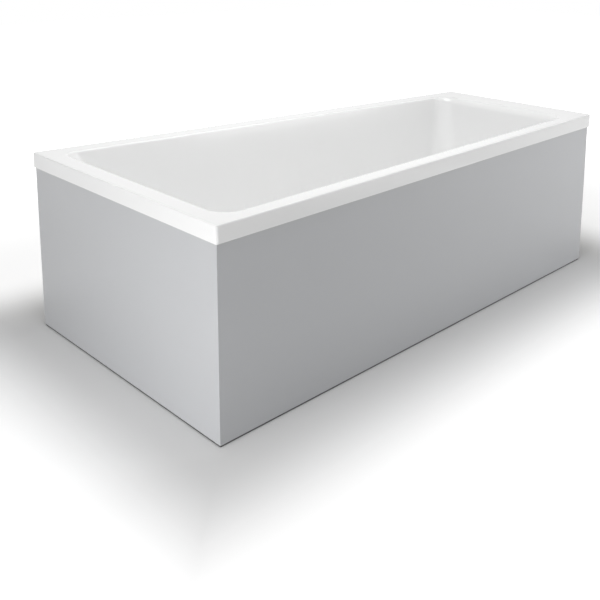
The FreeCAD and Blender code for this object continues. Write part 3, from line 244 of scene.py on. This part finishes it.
def lacquer(way_in):
    """Pale grey satin lacquer with an orange-peel skin; the board's back is plain paper."""
    made, tree, shader = new_material("panel_lacquer_finish")
    tone = noise(tree, 1.3, 2.0)
    front = ramp(tree, tone, (0.3, (0.508, 0.516, 0.530)), (0.7, (0.521, 0.529, 0.543)))
    specks = noise(tree, 260.0, 3.0, 0.7, 0.0, (1, 1, 0.35))
    paper = ramp(tree, specks, (0.35, (0.60, 0.575, 0.53)), (0.65, (0.67, 0.645, 0.60)))
    behind = math_node(tree, "GREATER_THAN", facing(tree, way_in), 0.6)
    tree.links.new(mix(tree, behind, front, paper), shader.inputs["Base Color"])
    rough = ramp(tree, noise(tree, 6.0, 3.0), (0.3, 0.30), (0.7, 0.36))
    matt = ramp(tree, behind, (0.0, 0.0), (1.0, 0.3))
    tree.links.new(math_node(tree, "ADD", rough, matt), shader.inputs["Roughness"])
    shader.inputs["Coat Weight"].default_value = 0.15
    shader.inputs["Coat Roughness"].default_value = 0.25
    peel = noise(tree, 520.0, 2.0)
    bump(tree, shader, peel, 0.00006, 0.6)
    return made


def rubber(name, dark, light):
    made, tree, shader = new_material(name)
    dust = ramp(tree, noise(tree, 45.0, 4.0, 0.7), (0.4, dark), (0.85, light))
    tree.links.new(dust, shader.inputs["Base Color"])
    rough = ramp(tree, noise(tree, 80.0), (0.3, 0.55), (0.7, 0.72))
    tree.links.new(rough, shader.inputs["Roughness"])
    bump(tree, shader, noise(tree, 900.0, 2.0), 0.00008, 0.6)
    return made


def galvanised():
    """Hot-dip zinc: crystal spangles that differ a little in tone and sheen."""
    made, tree, shader = new_material("galvanised_steel")
    cells = add(tree, "ShaderNodeTexVoronoi", Vector=place(tree), Scale=95.0, Randomness=1.0)
    spangle = add(tree, "ShaderNodeSeparateColor", Color=cells.outputs["Color"]).outputs["Red"]
    tone = ramp(tree, spangle, (0.0, (0.50, 0.52, 0.54)), (0.5, (0.60, 0.62, 0.64)),
                (1.0, (0.71, 0.73, 0.74)))
    bloom = ramp(tree, noise(tree, 14.0, 5.0, 0.65), (0.42, 1.0), (0.75, 0.86))
    dulled = add(tree, "ShaderNodeMix", {"data_type": "RGBA", "blend_type": "MULTIPLY"})
    dulled.inputs[0].default_value = 1.0
    tree.links.new(tone, dulled.inputs[6])
    tree.links.new(bloom, dulled.inputs[7])
    tree.links.new(dulled.outputs[2], shader.inputs["Base Color"])
    shader.inputs["Metallic"].default_value = 0.85
    rough = ramp(tree, spangle, (0.0, 0.34), (1.0, 0.52))
    tree.links.new(rough, shader.inputs["Roughness"])
    bump(tree, shader, noise(tree, 320.0, 3.0), 0.00008, 0.5)
    return made


def zinc(name, colour):
    """Bright zinc plate on small fixings."""
    made, tree, shader = new_material(name)
    worn = tuple(0.78 * part for part in colour)
    tone = ramp(tree, noise(tree, 120.0, 3.0, 0.6), (0.35, worn), (0.6, colour))
    tree.links.new(tone, shader.inputs["Base Color"])
    shader.inputs["Metallic"].default_value = 1.0
    rough = ramp(tree, noise(tree, 400.0, 2.0), (0.3, 0.22), (0.7, 0.38))
    tree.links.new(rough, shader.inputs["Roughness"])
    bump(tree, shader, noise(tree, 900.0, 2.0), 0.00003, 0.5)
    return made


THREAD_PITCH = 0.0018
THREAD_LOW = 0.028


def threaded():
    """Zinc-plated stud: thread turns above the spanner flats, with painted shade in the grooves and
    a painted highlight on the crests.
    """
    made, tree, shader = new_material("stud_thread")
    source = add(tree, "ShaderNodeTexCoord").outputs["Object"]
    height = add(tree, "ShaderNodeSeparateXYZ", Vector=source).outputs["Z"]
    turn = math_node(tree, "SINE", math_node(tree, "MULTIPLY", height, 2 * math.pi / THREAD_PITCH))
    above = math_node(tree, "GREATER_THAN", height, THREAD_LOW)
    groove = math_node(tree, "MULTIPLY", turn, above)
    # The colour is darker in each groove and lighter on each crest: painted shade in the grooves
    # and a painted highlight on the crests.
    tone = ramp(tree, math_node(tree, "MULTIPLY_ADD", groove, 0.5, 0.5),
                (0.0, (0.30, 0.30, 0.29)), (0.45, (0.62, 0.62, 0.60)), (1.0, (0.76, 0.76, 0.73)))
    tree.links.new(tone, shader.inputs["Base Color"])
    shader.inputs["Metallic"].default_value = 1.0
    rough = ramp(tree, noise(tree, 300.0, 2.0), (0.3, 0.25), (0.7, 0.4))
    tree.links.new(rough, shader.inputs["Roughness"])
    bump(tree, shader, groove, 0.0005, 1.0)
    return made


def chrome():
    """Polished chrome plate, with the faintest wipe marks."""
    made, tree, shader = new_material("chrome_plate")
    tone = ramp(tree, noise(tree, 25.0, 3.0), (0.3, (0.80, 0.81, 0.825)), (0.7, (0.83, 0.84, 0.85)))
    tree.links.new(tone, shader.inputs["Base Color"])
    shader.inputs["Metallic"].default_value = 1.0
    wipe = noise(tree, 60.0, 4.0, 0.65, 0.4, (1, 4, 1))
    rough = ramp(tree, wipe, (0.45, 0.045), (0.8, 0.11))
    tree.links.new(rough, shader.inputs["Roughness"])
    bump(tree, shader, noise(tree, 30.0, 2.0), 0.00004, 0.4)
    return made


def moulded(name, colour, grain=700.0, gloss=0.42):
    """Injection-moulded plastic: a fine spark-eroded grain and a slight flow mottle."""
    made, tree, shader = new_material(name)
    low = tuple(0.92 * part for part in colour)
    tone = ramp(tree, noise(tree, 18.0, 4.0, 0.6), (0.3, low), (0.7, colour))
    tree.links.new(tone, shader.inputs["Base Color"])
    rough = ramp(tree, noise(tree, grain, 2.0), (0.3, gloss - 0.06), (0.7, gloss + 0.08))
    tree.links.new(rough, shader.inputs["Roughness"])
    bump(tree, shader, noise(tree, grain, 3.0), 0.00007, 0.6)
    return made


def chipboard():
    """Pressed wood chips: flakes of mixed tone, with fine dust between."""
    made, tree, shader = new_material("chipboard")
    flakes = add(tree, "ShaderNodeTexVoronoi", Vector=place(tree, (1, 2.4, 2.0)), Scale=240.0,
                 Randomness=1.0)
    pick = add(tree, "ShaderNodeSeparateColor", Color=flakes.outputs["Color"]).outputs["Green"]
    tone = ramp(tree, pick, (0.0, (0.30, 0.20, 0.11)), (0.35, (0.50, 0.36, 0.21)),
                (0.75, (0.62, 0.47, 0.30)), (1.0, (0.74, 0.60, 0.41)))
    dust = ramp(tree, noise(tree, 500.0, 4.0, 0.7), (0.3, (0.42, 0.30, 0.18)),
                (0.7, (0.68, 0.53, 0.35)))
    tree.links.new(mix(tree, 0.35, tone, dust), shader.inputs["Base Color"])
    shader.inputs["Roughness"].default_value = 0.82
    height = math_node(tree, "MULTIPLY_ADD", pick, 0.5, noise(tree, 350.0, 4.0, 0.7))
    bump(tree, shader, height, 0.0004, 0.7)
    return made


def softwood(name, along):
    """Planed softwood with its grain along one direction, given in the plan."""
    made, tree, shader = new_material(name)
    source = add(tree, "ShaderNodeTexCoord").outputs["Object"]
    turned = add(tree, "ShaderNodeMapping", Vector=source,
                 Rotation=(0, 0, -math.atan2(along.y, along.x))).outputs["Vector"]
    thin = add(tree, "ShaderNodeMapping", Vector=turned, Scale=(0.9, 26, 26)).outputs["Vector"]
    swirl = add(tree, "ShaderNodeTexNoise", Vector=thin, Scale=1.0, Detail=3.0).outputs["Fac"]
    rings = math_node(tree, "FRACT", math_node(tree, "MULTIPLY", swirl, 9.0))
    grain = ramp(tree, rings, (0.0, (0.74, 0.57, 0.36)), (0.7, (0.66, 0.48, 0.28)),
                 (0.93, (0.50, 0.33, 0.17)), (1.0, (0.70, 0.53, 0.33)))
    fine = add(tree, "ShaderNodeMapping", Vector=turned, Scale=(14, 900, 900)).outputs["Vector"]
    fibre = add(tree, "ShaderNodeTexNoise", Vector=fine, Scale=1.0, Detail=4.0).outputs["Fac"]
    pale = ramp(tree, fibre, (0.35, (0.58, 0.42, 0.25)), (0.65, (0.76, 0.60, 0.40)))
    tree.links.new(mix(tree, 0.4, grain, pale), shader.inputs["Base Color"])
    shader.inputs["Roughness"].default_value = 0.72
    bump(tree, shader, fibre, 0.00025, 0.6)
    return made


def paint(material, *names):
    """Give CAD nodes their finish."""
    for name in names:
        for slot in nodes[name].material_slots:
            slot.material = material


# ---------------------------------------------------------------- the tub shell
ARC_STEPS = 20
SIDE_STEPS = 26

# Rings along the basin's profile, on its edge, its wall and its floor rounding
SHOWN_STEPS = (9, 8, 18)
BACK_STEPS = (4, 8, 12)
RIM_EDGE_STEPS = 6
LIP_FOOT_STEPS = 3

DRILL_SEGMENTS = 96
DRILL_DEPTH = 6 * SHELL
TRUE_EDGE_DEG = 32.0
FLAT_FACE_WEIGHT = 90


def corner(side_a, inset_a, side_b, inset_b):
    """Where two sides meet in plan, once each is moved in by its inset."""
    point_a, way_a, in_a = SIDES[side_a]
    point_b, way_b, in_b = SIDES[side_b]
    start_a = point_a + in_a * inset_a
    gap = point_b + in_b * inset_b - start_a
    turn = way_a.x * way_b.y - way_a.y * way_b.x
    return start_a + way_a * ((gap.x * way_b.y - gap.y * way_b.x) / turn)


def outline(insets, radius):
    """Plan points and inward normals round the trapezium, in the same order at any inset."""
    arcs = []
    for i, side in enumerate(AROUND):
        before = AROUND[i - 1]
        in_before = SIDES[before][2]
        in_after = SIDES[side][2]
        point = corner(before, insets[before], side, insets[side])
        middle = (in_before + in_after).normalized()
        centre = point + middle * (radius / middle.dot(in_after))
        sweep = in_before.angle(in_after)
        arc = []
        for step in range(ARC_STEPS + 1):
            normal = Matrix.Rotation(sweep * step / ARC_STEPS, 3, "Z") @ in_before
            arc.append((centre - normal * radius, normal))
        arcs.append(arc)
    ring = []
    for i, arc in enumerate(arcs):
        ring += arc
        last, normal = arc[-1]
        ahead = arcs[(i + 1) % len(arcs)][0][0]
        for step in range(1, SIDE_STEPS):
            ring.append((last.lerp(ahead, step / SIDE_STEPS), normal))
    return ring


def drain_share(index):
    """How far a ring's point belongs to the drain end: 0 on three sides, 1 along that end."""
    stride = ARC_STEPS + SIDE_STEPS
    block, step = divmod(index, stride)
    if block == 1:
        return min(step / ARC_STEPS, 1.0)
    if block == 2:
        return max(1.0 - step / ARC_STEPS, 0.0)
    return 0.0


def basin_outline(depth, grow):
    insets = {}
    for side in AROUND:
        slope = math.radians(SLOPE_DEG[side])
        insets[side] = DECK[side] + depth * math.tan(slope) - grow / math.cos(slope)
    share = depth / BASIN_DEPTH
    radius = BASIN_TOP_CORNER_R + (BASIN_FLOOR_CORNER_R - BASIN_TOP_CORNER_R) * share + grow
    return outline(insets, radius)


def basin_rings(grow, top_z, edge_r, drain_r, floor_r, steps):
    """Rings from the deck, round the basin's edge, down the wall and round onto its floor."""
    edge_steps, wall_steps, floor_steps = steps
    top = basin_outline(RIM_Z - top_z, grow)
    bottom = basin_outline(RIM_Z - top_z + BASIN_DEPTH, grow)
    rings = [[] for _ in range(edge_steps + wall_steps + floor_steps + 1)]
    for index, ((high, normal), (low, _)) in enumerate(zip(top, bottom)):
        span = low - high
        slope = math.atan2(span.dot(normal), BASIN_DEPTH)
        slide = span - normal * span.dot(normal)
        radius = edge_r + (drain_r - edge_r) * drain_share(index)
        reach = (1 - math.sin(slope)) / math.cos(slope)
        profile = []
        for step in range(edge_steps + 1):
            angle = math.pi / 2 + (slope - math.pi / 2) * step / edge_steps
            profile.append((radius * (math.cos(angle) - reach), radius * (1 - math.sin(angle))))
        first = profile[-1][1]
        last = BASIN_DEPTH - floor_r * (1 - math.sin(slope))
        for step in range(1, wall_steps + 1):
            depth = first + (last - first) * step / wall_steps
            profile.append((depth * math.tan(slope), depth))
        centre = BASIN_DEPTH * math.tan(slope) + floor_r * reach
        for step in range(1, floor_steps + 1):
            angle = slope + (math.pi / 2 - slope) * step / floor_steps
            profile.append((centre - floor_r * math.cos(angle),
                            BASIN_DEPTH - floor_r * (1 - math.sin(angle))))
        # On the roundings at either end of the wall a point keeps its place along the side
        for ring, (offset, depth) in zip(rings, profile):
            share = min(max(depth, first), last) / BASIN_DEPTH
            point = high + slide * share + normal * offset
            ring.append(Vector((point.x, point.y, top_z - depth)))
    return rings


def level_ring(inset, radius, z, push=0.0):
    """A ring round the outline; push moves each point straight in along its normal."""
    found = outline({side: inset for side in AROUND}, radius)
    return [Vector((p.x, p.y, z)) + normal * push for p, normal in found]


def flat_ring(z):
    """A plain ring on the flat of the floor, a little inside the foot of its rounding."""
    insets = {}
    for side in AROUND:
        slope = math.radians(SLOPE_DEG[side])
        foot = BASIN_FLOOR_R * (1 - math.sin(slope)) / math.cos(slope)
        insets[side] = DECK[side] + BASIN_DEPTH * math.tan(slope) + foot + FLOOR_MARGIN
    return [Vector((p.x, p.y, z)) for p, _ in outline(insets, FLOOR_RING_CORNER_R)]


def round_hole(centre, radius, z, like):
    """A circle with one point for each point of a ring, seen from the circle's centre."""
    circle = []
    for point in like:
        way = Vector((point.x - centre.x, point.y - centre.y, 0)).normalized()
        circle.append(Vector((centre.x, centre.y, z)) + way * radius)
    return circle


def quarter(steps):
    """Even angles from 0 to a right angle."""
    return [math.pi / 2 * step / steps for step in range(steps + 1)]


def waste_rings(waste, flat):
    """The waste hole and the shallow recess round it, from the hole outward."""
    low = FLOOR_Z - WASTE_RECESS
    profile = ((WASTE_HOLE_R, low), (WASTE_RECESS_R - WASTE_EDGE, low),
               (WASTE_RECESS_R, low + WASTE_EDGE), (WASTE_RECESS_R, FLOOR_Z - WASTE_EDGE),
               (WASTE_RECESS_R + WASTE_EDGE, FLOOR_Z))
    return [round_hole(waste, radius, z, flat) for radius, z in profile]


def tub_rings(waste):
    """Every ring of the closed shell, from the waste hole round the lip and back."""
    lip_z = RIM_Z - LIP_HEIGHT
    inside = basin_rings(0.0, RIM_Z, BASIN_EDGE_R, DRAIN_ROLL_R, BASIN_FLOOR_R, SHOWN_STEPS)
    flat = flat_ring(FLOOR_Z)
    shown = waste_rings(waste, flat) + [flat] + inside[::-1]
    for angle in quarter(RIM_EDGE_STEPS):
        shown.append(level_ring(0.0, OUTER_CORNER_R, RIM_Z - RIM_EDGE_R * (1 - math.cos(angle)),
                                RIM_EDGE_R * (1 - math.sin(angle))))
    for angle in quarter(LIP_FOOT_STEPS):
        shown.append(level_ring(0.0, OUTER_CORNER_R, lip_z + LIP_FOOT_R * (1 - math.sin(angle)),
                                LIP_FOOT_R * (1 - math.cos(angle))))
    deck_under = RIM_Z - SHELL
    back = [level_ring(SHELL, LIP_INNER_CORNER_R, lip_z, 0.0),
            level_ring(SHELL, LIP_INNER_CORNER_R, deck_under - UNDER_DECK_R, 0.0),
            level_ring(SHELL, LIP_INNER_CORNER_R, deck_under, UNDER_DECK_R)]
    back += basin_rings(SHELL, deck_under, max(BASIN_EDGE_R - SHELL, LEAST_FILLET_R),
                        max(DRAIN_ROLL_R - SHELL, LEAST_FILLET_R), BASIN_FLOOR_R + SHELL,
                        BACK_STEPS)
    under = flat_ring(FLOOR_Z - SHELL)
    back += [under, round_hole(waste, WASTE_HOLE_R, FLOOR_Z - SHELL, under)]
    return shown, back


def mesh_object(name, vertices, faces, materials, indices):
    data = bpy.data.meshes.new(name)
    data.from_pydata(vertices, [], faces)
    for material in materials:
        data.materials.append(material)
    for face, index in zip(data.polygons, indices):
        face.material_index = index
    made = bpy.data.objects.new(name, data)
    bpy.context.scene.collection.objects.link(made)
    return made


def smooth(obj):
    """Smooth shading that keeps true edges and flat faces."""
    obj.data.polygons.foreach_set("use_smooth", [True] * len(obj.data.polygons))
    obj.data.set_sharp_from_angle(angle=math.radians(TRUE_EDGE_DEG))
    even = obj.modifiers.new("even", "WEIGHTED_NORMAL")
    even.keep_sharp = True
    even.weight = FLAT_FACE_WEIGHT


def apply_modifiers(obj):
    evaluated = obj.evaluated_get(bpy.context.evaluated_depsgraph_get())
    done = bpy.data.meshes.new_from_object(evaluated)
    obj.modifiers.clear()
    obj.data = done


def tub(shown_material, back_material):
    """The shell as one closed sheet of even thickness, with its waste and overflow holes."""
    low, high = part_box("plug")
    waste = (low + high) / 2
    shown, back = tub_rings(waste)
    rings = shown + back
    count = len(rings[0])
    vertices = [point for ring in rings for point in ring]
    faces = []
    indices = []
    for i in range(len(rings)):
        following = (i + 1) % len(rings)
        for j in range(count):
            k = (j + 1) % count
            faces.append((i * count + j, i * count + k, following * count + k,
                          following * count + j))
            indices.append(0 if i < len(shown) - 1 else 1)
    shell = mesh_object("tub", vertices, faces, [shown_material, back_material], indices)
    joint = next(one for one in frame["joints"] if one["name"] == "knob_turn")
    drill = bmesh.new()
    bmesh.ops.create_cone(drill, cap_ends=True, segments=DRILL_SEGMENTS,
                          radius1=OVERFLOW_HOLE_R, radius2=OVERFLOW_HOLE_R, depth=DRILL_DEPTH)
    turn = Vector(joint["axis"]).to_track_quat("Z", "Y").to_matrix().to_4x4()
    drill.transform(Matrix.Translation(Vector(joint["pos_m"])) @ turn)
    cutter = mesh_object("drill", [], [], [], [])
    drill.to_mesh(cutter.data)
    drill.free()
    cut = shell.modifiers.new("hole", "BOOLEAN")
    cut.operation = "DIFFERENCE"
    cut.solver = "EXACT"
    cut.object = cutter
    apply_modifiers(shell)
    bpy.data.objects.remove(cutter)
    smooth(shell)
    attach(shell, "bath")
    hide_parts("tub_shell")
    return shell


# ---------------------------------------------------------------- softened edges of CAD nodes
PANEL_EDGE = 0.0007
TIMBER_EDGE = 0.0012
EASE_SEGMENTS = 2
EASE_FROM_DEG = 40


def ease(width, *names):
    """A small rounding on the true edges of carried-over nodes."""
    for name in names:
        made = nodes[name].modifiers.new("ease", "BEVEL")
        made.width = width
        made.segments = EASE_SEGMENTS
        made.limit_method = "ANGLE"
        made.angle_limit = math.radians(EASE_FROM_DEG)
        made.harden_normals = True


# ---------------------------------------------------------------- studio
CAMERA_PLACE = (-1.8223, -1.9511, 1.0360)
CAMERA_PITCH_DEG = 12.47
CAMERA_TURN_DEG = -38.96
FOCAL_PX = 978.2
PHOTO_PX = 600
SENSOR = 36.0
SHIFT_Y = -0.25

FLOOR_HALF = 9.0
WORLD_LIGHT = 0.28
FLOOR_TONE = 0.80

# The floor's painted glow towards white, in steps of distance from the bath: from, to, and how
# much; it is nil by the bath, so the lamps' shadow stays there and is painted to fade out further
# away
NEAR_PAINTED_GLOW = (0.06, 0.38, 0.42)
FAR_PAINTED_GLOW = (0.38, 2.00, 0.58)


def camera():
    data = bpy.data.cameras.new("camera")
    data.sensor_width = SENSOR
    data.lens = FOCAL_PX * SENSOR / PHOTO_PX
    data.shift_y = SHIFT_Y
    made = bpy.data.objects.new("camera", data)
    made.location = CAMERA_PLACE
    made.rotation_euler = (math.radians(90 - CAMERA_PITCH_DEG), 0, math.radians(CAMERA_TURN_DEG))
    bpy.context.scene.collection.objects.link(made)
    bpy.context.scene.camera = made


def seen(tree):
    """1 for rays that show the background: straight, mirrored or let through."""
    path = add(tree, "ShaderNodeLightPath")
    shown = math_node(tree, "MAXIMUM", path.outputs["Is Camera Ray"], path.outputs["Is Glossy Ray"])
    return math_node(tree, "MAXIMUM", shown, path.outputs["Is Transmission Ray"])


def world():
    """Even soft light, and a white background behind it."""
    made = bpy.data.worlds.new("studio")
    bpy.context.scene.world = made
    made.use_nodes = True
    tree = made.node_tree
    back = tree.nodes["Background"]
    back.inputs["Color"].default_value = (1, 1, 1, 1)
    strength = add(tree, "ShaderNodeMapRange", Value=seen(tree), To_Min=WORLD_LIGHT, To_Max=1.0)
    tree.links.new(strength.outputs["Result"], back.inputs["Strength"])


def away(tree):
    """How far a point of the floor is outside the bath's outline."""
    source = add(tree, "ShaderNodeTexCoord")
    reach = None
    for point, _, way_in in SIDES.values():
        dot = add(tree, "ShaderNodeVectorMath", {"operation": "DOT_PRODUCT"})
        tree.links.new(source.outputs["Object"], dot.inputs[0])
        dot.inputs[1].default_value = -way_in
        outside = math_node(tree, "ADD", dot.outputs["Value"], point.dot(way_in))
        reach = outside if reach is None else math_node(tree, "MAXIMUM", reach, outside)
    return reach


def floor():
    """Pale floor: it takes the lamps' shadow of the object, and a painted glow for camera and
    glossy rays, growing with distance from the bath, fades that shadow out and turns the floor
    white away from it.
    """
    made, tree, shader = new_material("studio_floor")
    shader.inputs["Base Color"].default_value = (FLOOR_TONE, FLOOR_TONE, FLOOR_TONE, 1)
    shader.inputs["Roughness"].default_value = 0.9
    shader.inputs["Specular IOR Level"].default_value = 0.0
    reach = away(tree)
    painted_glow_steps = []
    for start, end, gain in (NEAR_PAINTED_GLOW, FAR_PAINTED_GLOW):
        painted_glow_step = add(tree, "ShaderNodeMapRange", {"interpolation_type": "SMOOTHSTEP"},
                   Value=reach, From_Min=start, From_Max=end, To_Max=gain)
        painted_glow_steps.append(painted_glow_step.outputs["Result"])
    # Painted glow: seen only by camera and glossy rays and graded by distance from the bath, it
    # paints the shadow's fade to white.
    painted_glow = math_node(tree, "MULTIPLY", seen(tree), math_node(tree, "ADD", *painted_glow_steps))
    shader.inputs["Emission Color"].default_value = (1, 1, 1, 1)
    tree.links.new(painted_glow, shader.inputs["Emission Strength"])
    half = FLOOR_HALF
    corners = [(-half, -half, 0), (half, -half, 0), (half, half, 0), (-half, half, 0)]
    plane = mesh_object("floor", corners, [(0, 1, 2, 3)], [made], [0])


def lamp(name, place_at, aim, size, power):
    """A soft box; the low ones fill in without a glint."""
    data = bpy.data.lights.new(name, "AREA")
    data.shape = "RECTANGLE"
    data.size, data.size_y = size
    data.energy = power
    made = bpy.data.objects.new(name, data)
    made.location = place_at
    made.rotation_euler = (Vector(aim) - Vector(place_at)).to_track_quat("-Z", "Y").to_euler()
    made.visible_glossy = not name.startswith("low")
    bpy.context.scene.collection.objects.link(made)


# Soft boxes: place, aim, size and power
LAMPS = {
    "corner": ((-1.0, -0.55, 2.4), (-0.6, -0.2, 0.4), (1.2, 1.2), 17.0),
    "basin": ((0.1, 0.1, 1.7), (0.1, 0.05, 0.1), (1.4, 0.7), 10.0),
    "right": ((1.8, -2.0, 0.9), (0.4, -0.2, 0.25), (1.2, 1.2), 8.3),
    "low_left": ((-2.1, -0.75, 0.16), (-0.8, -0.42, 0.1), (0.8, 0.3), 12.5),
    "low_front": ((1.5, -1.3, 0.2), (0.7, -0.15, 0.12), (1.2, 0.3), 3.8),
    "low_back": ((0.2, 2.6, 0.22), (0.1, 0.4, 0.2), (1.8, 0.36), 10.0),
    "low_end": ((2.8, 0.5, 0.22), (0.75, 0.1, 0.2), (1.0, 0.36), 5.0),
}


# ---------------------------------------------------------------- the scene
bpy.context.scene.view_settings.view_transform = "Standard"
camera()
world()
floor()
for name, spec in LAMPS.items():
    lamp(name, *spec)

tub(acrylic(), laminate())
paint(lacquer(FRONT_IN), "front_panel")
paint(lacquer(Vector((1, 0, 0))), "end_panel")
paint(rubber("base_seal_rubber", 0.035, 0.075), "front_base_seal", "end_base_seal")
paint(rubber("seal_rubber_black", 0.018, 0.045), "waste_upper_seal", "waste_lower_seal",
      "plug_seal", "overflow_seal")
paint(galvanised(), "head_rail", "drain_rail", "front_panel_clips", "end_panel_clips",
      "corner_brackets", "front_wall_angle", "end_wall_angle", "back_wall_anchors",
      "end_wall_anchor")
paint(zinc("screw_zinc_plate", (0.74, 0.71, 0.60)), "rail_screws", "clip_screws",
      "corner_bracket_screws", "wall_angle_screws", "overflow_plate_screws")
paint(zinc("nut_zinc_plate", (0.70, 0.71, 0.72)), "leg_lock_nuts", "lever_pin", "knob_crank")
stud = threaded()
pad = moulded("pad_black", (0.030, 0.030, 0.032), 500.0, 0.5)
for rail in ("head", "drain"):
    for side in ("front", "back"):
        paint(stud, f"leg_stud_{rail}_{side}")
        paint(pad, f"leg_pad_{rail}_{side}")
paint(chrome(), "waste_flange", "plug", "overflow_plate", "overflow_knob")
paint(moulded("pipe_white", (0.78, 0.78, 0.76)), "overflow_pipe", "overflow_pipe_nuts", "trap",
      "trap_cap", "trap_nuts", "outlet_pipe")
paint(moulded("waste_black", (0.045, 0.045, 0.048)), "waste_body", "overflow_body")
paint(moulded("lever_orange", (0.62, 0.20, 0.05)), "lift_lever")
paint(moulded("sheath_black", (0.035, 0.035, 0.036), 300.0, 0.35), "cable_sheath")
paint(chipboard(), "base_board")
paint(softwood("softwood_front", ALONG_FRONT), "front_batten")
paint(softwood("softwood_along", Vector((1, 0, 0))), "back_batten")
paint(softwood("softwood_across", Vector((0, 1, 0))), "head_batten", "drain_batten")
ease(PANEL_EDGE, "front_panel", "end_panel")
ease(TIMBER_EDGE, "base_board", "front_batten", "back_batten", "head_batten", "drain_batten")
